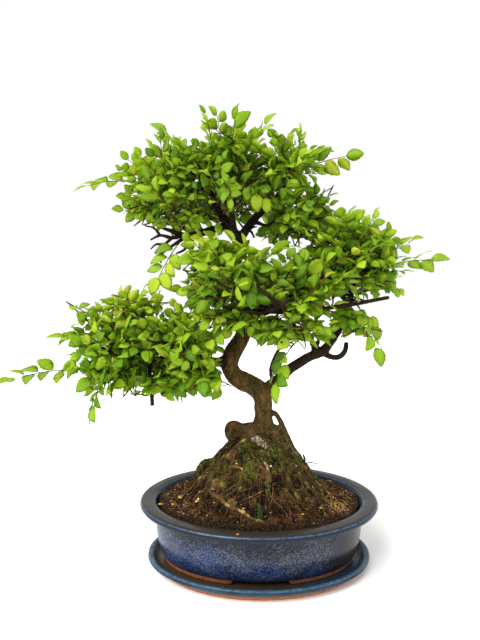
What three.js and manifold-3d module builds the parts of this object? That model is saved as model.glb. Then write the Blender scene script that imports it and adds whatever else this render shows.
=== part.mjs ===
// A zelkova bonsai grown over its own root mound, in an oval glazed stoneware pot on a matching saucer.
// Millimetres, +Z up. The origin is the centre of the saucer's underside, where it stands on a table.
// +X is to the right and +Y away from someone who looks at the tree's front.
import * as THREE from "three";
import { mergeVertices } from "three/addons/utils/BufferGeometryUtils.js";
import Module from "manifold-3d";

const wasm = await Module();
wasm.setup();

const { sin, cos, hypot, PI, sqrt, max, abs, ceil } = Math;
const V = (x, y, z) => new THREE.Vector3(x, y, z);

// Driving dimensions
const RIM = { x: 130, y: 102, z: 73 }; // half length, half depth and height of the pot's rim
const FOOT = { x: 104, y: 64, z: 5.3, tall: 5.2 }; // outer edge and height of the pot's foot ring
const FLOOR = FOOT.z + FOOT.tall + 6; // inside floor of the pot
const SAUCER = { x: 122, y: 86, z: 13.5, floor: 5 }; // lip half length, half depth and height
const FACETS = 28; // round an oval
const FOOT_GAPS = { front: 58, end: 26, depth: 0.7 }; // openings that leave four feet under the pot
const GAP = 0.3; // clearance between separate pieces
const MOUND = { x: -3, y: -2, squeeze: 0.88 }; // centre of the root mound, which is longer in X
const MOUND_PROFILE = [ // distance from the centre, height of the earth
  [0, 141], [18, 137], [28, 128], [38, 117], [48, 105], [58, 92], [68, 81], [80, 73], [95, 69], [140, 67],
];
const DRAIN = { x: 42, r: 8, screen: 24, thick: 1 }; // drain holes and the mesh over them
const LEAF = { length: 21, rib: 0.5, arch: 0.07, droop: 0.12, fold: 0.35 };
const LEAF_EDGE = [ // one side of the outline from the stalk on, as shares of the length along and across
  [0.14, 0.17], [0.42, 0.3], [0.52, 0.235], [0.77, 0.2],
];
const LEAF_CHECKS = [ // places on a blade that must be clear of everything else
  [0.22, 0], [0.38, -0.2], [0.38, 0], [0.38, 0.2], [0.56, -0.2], [0.56, 0], [0.56, 0.2],
  [0.74, -0.14], [0.74, 0.14], [0.88, 0], [1, 0],
];
const LEAF_BALL = 2.6; // radius of the clear space round each of those places
const LEAF_ROLLS = [0, 0.5, -0.5, 1, -1]; // turns of a blade about its rib, tried in this order
const SHOOT = { length: 54, base: 1.0, tip: 0.5, bow: 0.12, tilt: 54, roll: 2, leaves: 7, last: 0.98 };
const SHOOT_TURNS = [0, 0.2, -0.2, 0.4, -0.4, 0.6]; // the same for a shoot round its cloud
const TWIG = { base: 1.8, tip: 1.1, neck: 6 }; // the twig that carries a shoot
const ROOM = 0.6; // least space round the stem of a shoot
const BALL_STEP = 2.5; // between the balls that mark where a limb runs
const SEED = 4211;
const SEED_STEP = 7919;
const NUMBERS_PER_CLOUD = 20;

// Clouds of foliage: middle, half sizes, and how many shoots stand on each
const CLOUDS = {
  crown: { at: [-32, 0, 418], size: [106, 82, 66], shoots: 11 },
  right: { at: [104, 4, 330], size: [62, 60, 54], shoots: 5 },
  middle: { at: [-4, -46, 302], size: [72, 50, 46], shoots: 4 },
  left: { at: [-118, -12, 240], size: [90, 62, 42], shoots: 7 },
};

// Shoots with places of their own, out of the clouds or where those are thin, from stalk to tip
const STRAYS = {
  far_left: [[-200, -25, 214], [-254, -30, 206]],
  crown_far_left: [[-128, -20, 412], [-180, -22, 408]],
  crown_far_right: [[44, -6, 428], [92, -12, 442]],
  low_right: [[104, -30, 279], [118, -36, 240]],
  low_left: [[-158, -32, 216], [-172, -38, 172]],
  hanging_left: [[-86, -24, 346], [-104, -34, 312]],
  low_middle: [[32, -30, 238], [16, -46, 206]],
  far_right: [[130, -18, 322], [178, -26, 330]],
  right_front: [[88, -28, 306], [104, -68, 332]],
  right_high: [[112, -4, 336], [84, -36, 372]],
  right_side: [[122, 0, 328], [170, 14, 352]],
  left_inner: [[-66, -30, 236], [-30, -60, 258]],
  left_under: [[-96, -22, 230], [-64, -44, 204]],
  crown_high_left: [[-66, -6, 424], [-98, -16, 464]],
};

// The route of each limb and root: x, y, z and radius, a parent before what grows from it
const LIMBS = {
  trunk: [[4, 0, 118, 15], [4, 0, 134, 14], [4, 0, 146, 11.5], [5, 0, 161, 10], [5, 0, 176, 9.8],
    [2, 0, 188, 10.2], [-7, 0, 198, 10], [-19, -2, 207, 9.8], [-30, -3, 219, 9.8],
    [-35, -3, 231, 9.5], [-30, -2, 243, 9.2], [-24, 0, 253, 9], [-23, 2, 267, 8.6],
    [-26, 4, 285, 8.2], [-29, 5, 302, 7.8], [-27, 5, 322, 7.2], [-23, 4, 342, 6.8], [-23, 3, 357, 6.2]],
  right_limb: [[5, 0, 179, 8.4], [11, 0, 191, 7.6], [20, 0, 199, 6.6], [31, -2, 210, 6],
    [43, -4, 219, 5.6], [56, -6, 227, 5.4], [68, -7, 232, 5.2], [78, -6, 242, 4.8],
    [86, -4, 254, 4.4], [93, 0, 268, 4], [101, 4, 284, 3.6], [104, 6, 302, 3.1], [110, 6, 322, 2.5],
    [116, 4, 342, 1.8]],
  left_limb: [[-33, -2, 225, 6.4], [-43, -6, 221, 5.5], [-56, -10, 223, 5], [-70, -12, 229, 4.5],
    [-85, -14, 235, 4], [-103, -16, 233, 3.4], [-122, -18, 230, 2.7], [-140, -20, 233, 2.1],
    [-160, -22, 236, 1.5]],
  crown_left: [[-23, 3, 352, 6], [-29, 2, 366, 5.4], [-40, 0, 380, 4.6], [-49, -4, 395, 3.8],
    [-53, -6, 411, 3], [-51, -6, 430, 2]],
  crown_right: [[-23, 3, 352, 5.6], [-14, 4, 366, 5], [-3, 6, 380, 4.4], [11, 8, 394, 3.6],
    [24, 8, 407, 2.8], [35, 6, 424, 1.8]],
  crown_side: [[-34, 2, 369, 4.6], [-51, -4, 365, 4.2], [-67, -10, 359, 3.8], [-82, -14, 358, 3.2],
    [-95, -18, 362, 2.4], [-107, -20, 366, 1.5]],
  crown_back: [[-23, 5, 356, 4.2], [-35, 35, 389, 3.2], [-45, 52, 410, 2]],
  crown_front: [[-25, 0, 357, 4.2], [-29, -25, 378, 3.2], [-25, -42, 397, 2]],
  antler: [[-76, -13, 358, 2.8], [-86, -18, 350, 2.2], [-97, -22, 342, 1.5]],
  stump: [[62, -7, 230, 4.2], [61, -8, 238, 4.6], [61, -8, 244, 4.4]],
  hook: [[69, -7, 232, 4.2], [78, -9, 227, 3.9], [87, -10, 227, 3.6], [93, -10, 233, 3.3],
    [95, -9, 243, 2.9]],
  right_front: [[101, 4, 284, 3], [81, -22, 299, 2.6], [65, -42, 311, 1.7]],
  right_back: [[103, 6, 298, 2.8], [99, 32, 313, 2.3], [95, 48, 326, 1.6]],
  mid_front: [[-23, 0, 262, 5.4], [-12, -20, 269, 4.8], [0, -42, 274, 4], [14, -62, 280, 3.2],
    [24, -72, 286, 2]],
  cut_twig: [[6, -50, 277, 2.9], [38, -42, 276, 2.8], [70, -36, 280, 2.5], [102, -33, 285, 2.3],
    [134, -32, 291, 2]],
  mid_back: [[-27, 4, 289, 4], [-14, 28, 301, 3.2], [6, 46, 312, 2]],
  left_up_back: [[-70, -12, 229, 3.2], [-82, 18, 239, 2.7], [-98, 36, 249, 1.8]],
  left_front: [[-85, -14, 235, 3], [-98, -40, 246, 2.2]],
  left_stub: [[-115, -18, 230, 2.2], [-116, -22, 212, 2.1], [-114, -24, 194, 2], [-113, -25, 177, 1.9]],
  hanging_twig: [[16, 0, 197, 2], [13, -4, 212, 1.6], [18, -14, 230, 1.5], [25, -28, 243, 1.4],
    [32, -44, 257, 1.5], [35, -50, 273, 1.8]],
};
const ROOTS = {
  knob: [[-1, -4, 136, 8], [-14, -10, 144, 6.2], [-24, -13, 153, 5.2], [-30, -15, 154, 5],
    [-32, -18, 146, 4.6], [-27, -22, 136, 4]],
  arch: [[8, 2, 162, 3.6], [18, 2, 166, 3.2], [26, 1, 156, 3.2], [31, 0, 142, 3.3],
    [38, -2, 127, 3.2], [43, -4, 110, 3]],
  long: [[-8, -10, 136, 6.5], [-20, -20, 129, 5.2], [-30, -22, 119, 4.6], [-41, -23, 107, 4.4],
    [-48, -28, 96, 4.2], [-50, -36, 88, 3.6], [-43, -50, 84, 3], [-31, -60, 82, 2.4],
    [-18, -68, 77, 1.8]],
  right: [[10, -1, 140, 9], [24, -4, 134, 6.8], [36, -5, 122, 5.4], [47, -10, 109, 4.4],
    [60, -6, 93, 3.4], [80, 4, 74, 2.4], [97, 8, 67, 1.6]],
  crown: [[-18, -12, 134, 5.6], [-10, -16, 137, 6], [3, -19, 137, 6.2], [14, -23, 131, 5.6],
    [26, -21, 125, 4.8], [37, -14, 117, 4]],
  cross: [[-4, -27, 128, 3], [9, -29, 127, 3.8], [21, -29, 122, 3.8], [34, -27, 113, 3.2],
    [44, -28, 102, 2.6], [52, -34, 91, 2]],
  front: [[2, -28, 128, 2.6], [6, -44, 111, 3], [8, -52, 101, 2.8], [6, -59, 92, 2.4],
    [5, -66, 83, 1.8]],
  front_right: [[22, -28, 121, 2.8], [27, -40, 108, 2.8], [32, -48, 97, 2.4], [41, -54, 86, 1.8]],
  left_back: [[-8, 6, 133, 7], [-27, 10, 128, 5.4], [-41, 12, 114, 4.4], [-50, 11, 101, 4],
    [-60, 12, 90, 3], [-74, 14, 77, 2]],
  left_knob: [[-20, -8, 126, 4], [-36, -6, 112, 4.2], [-50, -6, 110, 4.4], [-60, -6, 108, 4.4],
    [-66, -7, 97, 3.8], [-66, -9, 86, 3]],
  back_right: [[8, 8, 133, 6.5], [22, 22, 124, 5], [34, 34, 108, 4], [46, 44, 90, 3], [56, 54, 77, 2]],
  back: [[-2, 8, 133, 6], [-8, 30, 123, 4.6], [-12, 46, 104, 3.6], [-10, 62, 83, 2.4]],
};

const glaze = new THREE.MeshStandardMaterial({ color: "#24345f", roughness: 0.25 });
const saucerGlaze = new THREE.MeshStandardMaterial({ color: "#33506b", roughness: 0.3 });
const earth = new THREE.MeshStandardMaterial({ color: "#4a3626", roughness: 0.95 });
const bark = new THREE.MeshStandardMaterial({ color: "#5b4a35", roughness: 0.85 });
const leafGreen = new THREE.MeshStandardMaterial({ color: "#6ba51e", roughness: 0.5 });
const plastic = new THREE.MeshStandardMaterial({ color: "#20262a", roughness: 0.6 });
const part = new THREE.Group();

// Solids
function solid(geometry) {
  const bare = new THREE.BufferGeometry();
  bare.setAttribute("position", geometry.getAttribute("position"));
  bare.setIndex(geometry.index);
  const merged = mergeVertices(bare, 1e-4);
  return new wasm.Manifold(
    new wasm.Mesh({
      numProp: 3,
      vertProperties: new Float32Array(merged.getAttribute("position").array),
      triVerts: new Uint32Array(merged.index.array),
    }),
  );
}

function faceted(points, faces) {
  const geometry = new THREE.BufferGeometry().setFromPoints(points);
  geometry.setIndex(faces.flat());
  return solid(geometry);
}

function fuse(solids) {
  return solids.reduce((whole, one) => whole.add(one));
}

function carve(body, cuts) {
  return cuts.reduce((left, cut) => left.subtract(cut), body);
}

function largest(made) {
  return made.decompose().reduce((best, one) => (one.volume() > best.volume() ? one : best));
}

function geometryOf(made) {
  const { vertProperties, triVerts } = made.getMesh();
  const geometry = new THREE.BufferGeometry();
  geometry.setAttribute("position", new THREE.BufferAttribute(new Float32Array(vertProperties), 3));
  geometry.setIndex(new THREE.BufferAttribute(new Uint32Array(triVerts), 1));
  return geometry;
}

// A join can leave corners closer than the last figures of a file. A solid closes up if it still has each
// edge just once in each direction when such corners are merged.
function closesUp(made) {
  return [1e-3, 1e-4].every((tolerance) => {
    const { array } = mergeVertices(geometryOf(made), tolerance).index;
    const edges = new Map();
    for (let i = 0; i < array.length; i += 3) {
      const [a, b, c] = [array[i], array[i + 1], array[i + 2]];
      if (a === b || b === c || c === a) continue;
      for (const edge of [`${a} ${b}`, `${b} ${c}`, `${c} ${a}`]) {
        edges.set(edge, (edges.get(edge) ?? 0) + 1);
      }
    }
    const back = (edge) => edge.split(" ").reverse().join(" ");
    return [...edges].every(([edge, times]) => times === 1 && edges.has(back(edge)));
  });
}

function place(name, made, material) {
  const piece = new THREE.Mesh(geometryOf(made), material);
  piece.name = name;
  part.add(piece);
}

// An oval turned shape. Each row of the profile is half length, half depth and height.
function oval(profile, height = (x, y, z) => z) {
  const turned = new THREE.LatheGeometry(profile.map(([x, , z]) => new THREE.Vector2(x, z)), FACETS);
  const p = turned.getAttribute("position");
  for (let i = 0; i < p.count; i++) {
    const [halfX, halfY, z] = profile[i % profile.length];
    const x = p.getX(i);
    const y = halfX ? (-p.getZ(i) * halfY) / halfX : 0;
    p.setXYZ(i, x, y, height(x, y, z));
  }
  return solid(turned);
}

function box(size, at) {
  return solid(new THREE.BoxGeometry(...size).translate(...at));
}

// Saucer, pot and the mesh over its drain holes
function saucer() {
  const { x, y, z, floor } = SAUCER;
  return oval([
    [0, 0, 0],
    [x - 13, y - 9, 0],
    [x - 10.5, y - 7, 2.5],
    [x - 4.5, y - 4, 6.5],
    [x, y, 9.5],
    [x - 0.6, y - 0.6, z - 0.8],
    [x - 2.4, y - 2.4, z],
    [x - 5.2, y - 5, z - 0.7],
    [x - 9, y - 7.5, 8],
    [x - 13, y - 11, floor],
    [0, 0, floor],
  ]);
}

function pot() {
  const { x, y, z } = RIM;
  const under = FOOT.z + FOOT.tall;
  const body = oval([
    [0, 0, under],
    [FOOT.x - 8, FOOT.y - 8, under],
    [FOOT.x - 7.5, FOOT.y - 7.5, FOOT.z],
    [FOOT.x - 1, FOOT.y - 1, FOOT.z],
    [FOOT.x + 0.5, FOOT.y + 0.5, under - 0.4],
    [x - 21, y - 30, 20],
    [x - 18, y - 22, 36],
    [x - 16.5, y - 16.5, 58],
    [x - 8, y - 8, z - 7.6],
    [x - 1.2, y - 1.2, z - 6.4],
    [x, y, z - 3.6],
    [x - 2.2, y - 2.2, z],
    [x - 12, y - 12, z - 0.2],
    [x - 21, y - 21, z - 9],
    [x - 24, y - 26, 34],
    [x - 30, y - 38, 20],
    [x - 38, y - 46, FLOOR],
    [0, 0, FLOOR],
  ]);
  const { front, end, depth } = FOOT_GAPS;
  const gaps = [-1, 1].flatMap((side) => [
    box([front, FOOT.y * depth, 2 * FOOT.tall], [0, side * FOOT.y, FOOT.z]),
    box([FOOT.x * depth, end, 2 * FOOT.tall], [side * FOOT.x, 0, FOOT.z]),
  ]);
  const drains = [-1, 1].map((side) => {
    const bit = new THREE.CylinderGeometry(DRAIN.r, DRAIN.r, 4 * FOOT.tall, 14);
    return solid(bit.rotateX(PI / 2).translate(side * DRAIN.x, 0, under));
  });
  return carve(body, [...gaps, ...drains]);
}

function drainScreen(side) {
  const { screen, thick } = DRAIN;
  const sheet = box([screen, screen, thick], [side * DRAIN.x, 0, FLOOR + GAP + thick / 2]);
  const holes = [-1, 1].flatMap((i) =>
    [-1, 1].map((j) => {
      const at = [side * DRAIN.x + (i * screen) / 4.4, (j * screen) / 4.4, FLOOR + GAP];
      return box([screen / 3, screen / 3, 4 * thick], at);
    }),
  );
  return carve(sheet, holes);
}

// Earth, heaped into the mound that the roots hold
function moundHeight(x, y) {
  const r = hypot((x - MOUND.x) * MOUND.squeeze, y - MOUND.y);
  const next = MOUND_PROFILE.findIndex(([far]) => far > r);
  const [[r0, h0], [r1, h1]] = [MOUND_PROFILE[next - 1], MOUND_PROFILE[next]];
  const lumps = 1.6 * sin(x / 9 + 1.3) * sin(y / 8 + 0.4) + 0.8 * sin(x / 4.3 + y / 5.1);
  return h0 + ((h1 - h0) * (r - r0)) / (r1 - r0) + lumps;
}

function soil(wood) {
  const { x, y, z } = RIM;
  const bottom = FLOOR + GAP;
  const wall = [
    [0, 0, bottom],
    [x - 38.6, y - 46.6, bottom],
    [x - 30.5, y - 38.5, 20.2],
    [x - 24.5, y - 26.5, 34.2],
    [x - 21.5, y - 21.5, z - 9],
  ];
  const shares = [1, 0.87, 0.74, 0.62, 0.5, 0.38, 0.27, 0.15, 0];
  const top = shares.map((share) => [(x - 20.4) * share, (y - 20.4) * share, NaN]);
  const body = oval([...wall, ...top], (px, py, pz) => (Number.isNaN(pz) ? moundHeight(px, py) : pz));
  const seat = [DRAIN.screen + 2 * GAP, DRAIN.screen + 2 * GAP, 2 * DRAIN.thick + 2 * GAP];
  const seats = [-1, 1].map((side) => box(seat, [side * DRAIN.x, 0, bottom]));
  return largest(carve(body, [...seats, wood]));
}

// Wood. Each route becomes a tube with one ring of corners at each of its points.
function limb(points, sides, grow = 0, up = V(0.1, 1, 0.1)) {
  const centres = points.map(([x, y, z]) => V(x, y, z));
  const curve = new THREE.CatmullRomCurve3(centres);
  const steps = points.length - 1;
  let normal = up.clone();
  const corners = points.flatMap(([, , , r], i) => {
    const tangent = curve.getTangent(i / steps);
    normal = normal.clone().addScaledVector(tangent, -normal.dot(tangent)).normalize();
    const binormal = tangent.clone().cross(normal);
    const at = centres[i].clone().addScaledVector(tangent, i === 0 ? -grow : i === steps ? grow : 0);
    return [...Array(sides).keys()].map((k) => {
      const angle = (2 * PI * (k + 0.5)) / sides;
      const across = at.clone().addScaledVector(normal, (r + grow) * cos(angle));
      return across.addScaledVector(binormal, (r + grow) * sin(angle));
    });
  });
  const faces = [];
  for (let i = 0; i < steps; i++)
    for (let k = 0; k < sides; k++) {
      const [a, b] = [i * sides + k, i * sides + ((k + 1) % sides)];
      faces.push([a, b, b + sides], [a, b + sides, a + sides]);
    }
  const end = steps * sides;
  for (let k = 1; k < sides - 1; k++) faces.push([0, k + 1, k], [end, end + k, end + k + 1]);
  return faceted(corners, faces);
}

function sidesFor(points) {
  const thickest = max(...points.map(([, , , r]) => r));
  return thickest > 9.5 ? 7 : thickest > 4.5 ? 5 : 4;
}

// Balls along a route, which other pieces keep clear of
function ballsAlong(points, owner) {
  const balls = [];
  for (let i = 1; i < points.length; i++) {
    const [a, b] = [points[i - 1], points[i]];
    const count = ceil(hypot(b[0] - a[0], b[1] - a[1], b[2] - a[2]) / BALL_STEP);
    for (let k = 0; k <= count; k++) {
      const [x, y, z, r] = a.map((value, axis) => THREE.MathUtils.lerp(value, b[axis], k / count));
      balls.push({ x, y, z, r, owner });
    }
  }
  return balls;
}

function clear(balls, others, spare) {
  return balls.every((a) =>
    others.every((b) => {
      const room = a.r + b.r + spare;
      if (a.owner === b.owner || abs(a.x - b.x) > room) return true;
      return hypot(a.x - b.x, a.y - b.y, a.z - b.z) > room;
    }),
  );
}

// Foliage. Each shoot has a number of its own, which seeds its draws.
function dice(number) {
  let state = SEED + SEED_STEP * number;
  const draw = () => {
    state = (state * 16807) % 2147483647;
    return state / 2147483647;
  };
  draw();
  draw();
  return draw;
}

// The two ends of a shoot on a cloud: the tips wind round its upper part as seeds do in a flower head.
// Every third one stays inside.
function cloudShoot({ at, size, shoots }, index, turn) {
  const [lowest, golden, reach] = [-0.55, PI * (3 - sqrt(5)), index % 3 === 1 ? 0.6 : 1];
  const h = 1 - ((index + 0.5) / shoots) * (1 - lowest);
  const angle = index * golden + turn;
  const out = V(sqrt(1 - h * h) * cos(angle), sqrt(1 - h * h) * sin(angle), h);
  const tip = V(...at).add(out.clone().multiply(V(...size)).multiplyScalar(reach));
  const heading = out.clone().add(V(0, 0, 0.15)).normalize();
  return { base: tip.clone().addScaledVector(heading, -SHOOT.length), tip, out };
}

// The upper face of a shoot leans out of the cloud, and each shoot is rolled a little its own way.
function frameAlong(base, tip, out, roll) {
  const along = tip.clone().sub(base).normalize();
  const side = along.clone().cross(V(0, 0, 0.6).addScaledVector(out, 0.6)).normalize();
  side.applyAxisAngle(along, roll);
  return { along, side, face: side.clone().cross(along).normalize() };
}

function stemPoints(base, tip, face, radii) {
  const middle = base.clone().lerp(tip, 0.5).addScaledVector(face, SHOOT.bow * base.distanceTo(tip));
  const curve = new THREE.QuadraticBezierCurve3(base, middle, tip);
  return [0, 0.34, 0.67, 1].map((t) => {
    const { x, y, z } = curve.getPoint(t);
    return [x, y, z, THREE.MathUtils.lerp(...radii, t)];
  });
}

function leafFrame(at, along, up, roll) {
  const side = along.clone().cross(up).normalize().applyAxisAngle(along, roll);
  return { at, along, side, face: side.clone().cross(along) };
}

function onLeaf({ at, along, side, face, length }, u, v, lift = 0) {
  const rise = 4 * LEAF.arch * u * (1 - u) - LEAF.droop * u * u + LEAF.fold * abs(v);
  const point = at.clone().addScaledVector(along, u * length).addScaledVector(side, v * length);
  return point.addScaledVector(face, rise * length + lift);
}

// A toothed blade, folded along its rib: a fan of faces above and one below between the rib and the edge.
function leafSolid(leaf) {
  const edge = [...LEAF_EDGE, [1, 0], ...LEAF_EDGE.map(([u, v]) => [u, -v]).reverse(), [0, 0]];
  const rim = edge.map(([u, v]) => onLeaf(leaf, u, v));
  const ribs = [onLeaf(leaf, 0.45, 0, LEAF.rib), onLeaf(leaf, 0.45, 0, -LEAF.rib)];
  const [above, below] = [rim.length, rim.length + 1];
  const faces = rim.flatMap((_, i) => {
    const next = (i + 1) % rim.length;
    return [[above, i, next], [below, next, i]];
  });
  return faceted([...rim, ...ribs], faces);
}

// Leaves stand left and right in turn along a shoot, with one at its tip.
// One that finds no room is left out.
function leavesOn({ name: owner, frame, stem, random }, obstacles) {
  const curve = new THREE.CatmullRomCurve3(stem.map(([x, y, z]) => V(x, y, z)));
  const inner = [];
  return [...Array(SHOOT.leaves).keys()].flatMap((index) => {
    const [sizeDraw, tiltDraw, liftDraw, rollDraw] = [random(), random(), random(), random()];
    const t = ((index + 1) / SHOOT.leaves) * SHOOT.last;
    const hand = index === SHOOT.leaves - 1 ? 0 : 1 - 2 * (index % 2);
    const tilt = hand * (SHOOT.tilt + 12 * (tiltDraw - 0.5)) * (PI / 180);
    const along = curve.getTangent(t).multiplyScalar(cos(tilt)).addScaledVector(frame.side, sin(tilt));
    along.addScaledVector(frame.face, 0.4 * (liftDraw - 0.5)).normalize();
    const length = LEAF.length * (0.86 + 0.28 * sizeDraw);
    for (const turn of LEAF_ROLLS) {
      const leaf = { ...leafFrame(curve.getPoint(t), along, frame.face, turn + rollDraw - 0.5), length };
      const balls = LEAF_CHECKS.map(([u, v]) => ({ ...onLeaf(leaf, u, v), r: LEAF_BALL, owner }));
      const blade = balls.slice(1).map((ball) => ({ ...ball, r: LEAF.rib * 2, owner: inner.length }));
      if (clear(balls, obstacles, 0) && clear(blade, inner, 0)) {
        obstacles.push(...balls);
        inner.push(...blade);
        return [leaf];
      }
    }
    return [];
  });
}

function nearestOn(wood, at) {
  return wood.reduce((best, ball) => {
    const far = hypot(ball.x - at.x, ball.y - at.y, ball.z - at.z) + 2 * ball.r;
    return far < best.far ? { far, ball } : best;
  }, { far: Infinity });
}

// Every limb and twig is known before any leaf, so that the leaves can keep clear of them.
function grow() {
  const wood = Object.values({ ...LIMBS, ...ROOTS }).flatMap((points) => ballsAlong(points, "wood"));
  const perches = Object.values(LIMBS).slice(1).flatMap((points) => ballsAlong(points, "wood"));
  perches.push(...ballsAlong(LIMBS.trunk.slice(11), "wood"));
  const obstacles = [...wood];
  const twigs = [];
  const shoots = [];
  const tryShoot = (name, number, { base, tip, out }) => {
    const random = dice(number);
    const frame = frameAlong(base, tip, out, SHOOT.roll * (random() - 0.5));
    const stem = stemPoints(base, tip, frame.face, [SHOOT.base, SHOOT.tip]);
    const heading = V(...stem[1]).sub(base).normalize();
    const foot = base.clone().addScaledVector(heading, -1.3 * GAP);
    const neck = foot.clone().addScaledVector(heading, -TWIG.neck);
    const { ball } = nearestOn(perches, neck);
    const twig = [
      [ball.x, ball.y, ball.z, TWIG.base],
      [...neck.toArray(), TWIG.tip],
      [...foot.toArray(), TWIG.tip],
    ];
    const stemBalls = ballsAlong(stem, name);
    const twigBalls = ballsAlong(twig, "wood");
    if (!clear(stemBalls, obstacles, ROOM) || !clear(twigBalls, obstacles, ROOM)) return false;
    obstacles.push(...stemBalls, ...twigBalls);
    perches.push(...twigBalls.slice(3, -3));
    twigs.push(twig);
    shoots.push({ name, frame, stem, random });
    return true;
  };
  Object.entries(STRAYS).forEach(([name, [from, to]], order) => {
    const [base, tip] = [V(...from), V(...to)];
    tryShoot(`shoot_${name}`, order, { base, tip, out: tip.clone().sub(base).normalize() });
  });
  Object.entries(CLOUDS).forEach(([name, cloud], order) => {
    for (let i = 0; i < cloud.shoots; i++) {
      const number = NUMBERS_PER_CLOUD * (order + 1) + i;
      SHOOT_TURNS.some((turn) =>
        tryShoot(`shoot_${name}_${i + 1}`, number, cloudShoot(cloud, i, 0.9 * order + turn)),
      );
    }
  });
  return { twigs, shoots, obstacles };
}

function shootSolid(shoot, obstacles) {
  return leavesOn(shoot, obstacles).reduce((grown, leaf) => {
    const more = largest(grown.add(leafSolid(leaf)));
    return closesUp(more) ? more : grown;
  }, limb(shoot.stem, 3, 0, shoot.frame.face));
}

const { twigs, shoots, obstacles } = grow();
const limbs = { ...LIMBS, ...ROOTS };
const wood = (spare) =>
  fuse([
    ...Object.values(limbs).map((points) => limb(points, sidesFor(points), spare)),
    ...twigs.map((points) => limb(points, 3, spare)),
  ]);

place("saucer", saucer(), saucerGlaze);
place("pot", pot(), glaze);
place("drain_mesh_left", drainScreen(-1), plastic);
place("drain_mesh_right", drainScreen(1), plastic);
place("soil", soil(wood(GAP)), earth);
place("wood", largest(wood(0)), bark);
shoots.forEach((shoot) => place(shoot.name, shootSolid(shoot, obstacles), leafGreen));

export default part;
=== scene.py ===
"""The looks of a zelkova bonsai in its oval glazed pot, built round the frame of its solids.

Lengths are millimetres until a mesh is made, and metres in Blender. +X is to the right and +Y away from
someone who looks at the tree's front.
"""

import math
import random

import bpy
import numpy as np
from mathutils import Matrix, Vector, geometry, kdtree


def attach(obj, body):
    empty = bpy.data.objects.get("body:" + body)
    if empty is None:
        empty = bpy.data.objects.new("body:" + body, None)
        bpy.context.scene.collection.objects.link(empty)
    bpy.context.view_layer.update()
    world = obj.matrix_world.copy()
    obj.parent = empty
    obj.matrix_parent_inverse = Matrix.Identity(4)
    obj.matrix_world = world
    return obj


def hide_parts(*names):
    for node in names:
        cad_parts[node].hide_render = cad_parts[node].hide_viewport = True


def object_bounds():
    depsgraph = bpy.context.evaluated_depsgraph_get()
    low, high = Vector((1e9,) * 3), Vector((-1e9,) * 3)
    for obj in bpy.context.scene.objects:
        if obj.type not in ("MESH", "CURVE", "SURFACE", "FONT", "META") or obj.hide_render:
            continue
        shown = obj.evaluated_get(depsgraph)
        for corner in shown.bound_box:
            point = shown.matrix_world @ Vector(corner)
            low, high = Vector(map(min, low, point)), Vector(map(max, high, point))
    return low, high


bl_info = {
    "name": "Zelkova bonsai",
    "version": (1, 0, 0),
    "blender": (4, 5, 0),
    "location": "View3D > Sidebar > Bonsai",
    "description": "Builds the looks of a bonsai, its earth, pot and saucer round the frame of its solids",
    "category": "Object",
}

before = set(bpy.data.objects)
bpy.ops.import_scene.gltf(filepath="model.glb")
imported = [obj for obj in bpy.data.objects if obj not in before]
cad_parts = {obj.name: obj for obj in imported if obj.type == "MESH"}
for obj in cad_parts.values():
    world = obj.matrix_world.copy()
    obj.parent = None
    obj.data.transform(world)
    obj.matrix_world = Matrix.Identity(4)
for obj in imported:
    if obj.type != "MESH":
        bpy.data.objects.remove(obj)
CAD_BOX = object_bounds()

MM = 0.001
CAMERA = {"at": (-20.5, -530, 281), "focal_px": 481, "long_side_px": 640, "horizon_px": 13, "sensor": 36}
# In metres
TREE_MIDDLE = (-0.03, 0, 0.25)
KEY_AT = (-0.65, -0.7, 1.2)
FILL_AT = (1.0, -0.8, 0.6)
FLOOR_REACH = 14
LOW, HIGH = (np.array(corner) / MM for corner in CAD_BOX)


def linear(code):
    """The linear colour of an sRGB hex value."""
    parts = [int(code[i : i + 2], 16) / 255 for i in (0, 2, 4)]
    return tuple(p / 12.92 if p <= 0.04045 else ((p + 0.055) / 1.055) ** 2.4 for p in parts)


# Pot and saucer, as in the solids

RIM = {"x": 130, "y": 102, "z": 73}
FOOT_UNDER = 10.5
FOOT_GAP = {"front": 29, "end": 13, "edge": 1.6}
DRAIN = {"x": 42, "r": 8, "screen": 24, "z": 16.8}
POT_PROFILE = [
    (0, 0, 10.5), (60, 40, 10.5), (94.5, 54.5, 10.5), (96.2, 56.2, 10.1), (96.5, 56.5, 6.4),
    (97.4, 57.4, 5.4), (99.6, 59.6, 5.3), (102.2, 62.2, 5.4), (103.5, 63.5, 6.4), (104.2, 64.2, 9.6),
    (105.1, 65.6, 11.4), (107, 68.8, 15), (109, 72, 20), (110.8, 76.3, 28), (112, 80, 36), (112.9, 83, 47),
    (113.5, 85.5, 58), (114.9, 86.9, 61.8), (118.5, 90.5, 64.3), (122, 94, 65.3), (126, 98, 65.8),
    (128.9, 100.9, 66.7), (129.9, 101.9, 68.2), (129.9, 101.9, 69.8), (129.2, 101.2, 71.5),
    (127.5, 99.5, 72.7), (124, 96, 72.95), (118.6, 90.6, 72.8), (115, 87, 71.8), (112.4, 84.2, 69.3),
    (110.4, 82, 65), (108.6, 79.6, 50), (106.4, 76.4, 34), (103, 70, 25), (100, 64, 20), (95.4, 58.6, 17.2),
    (90, 55, 16.5), (50, 30, 16.5), (0, 0, 16.5),
]
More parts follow.
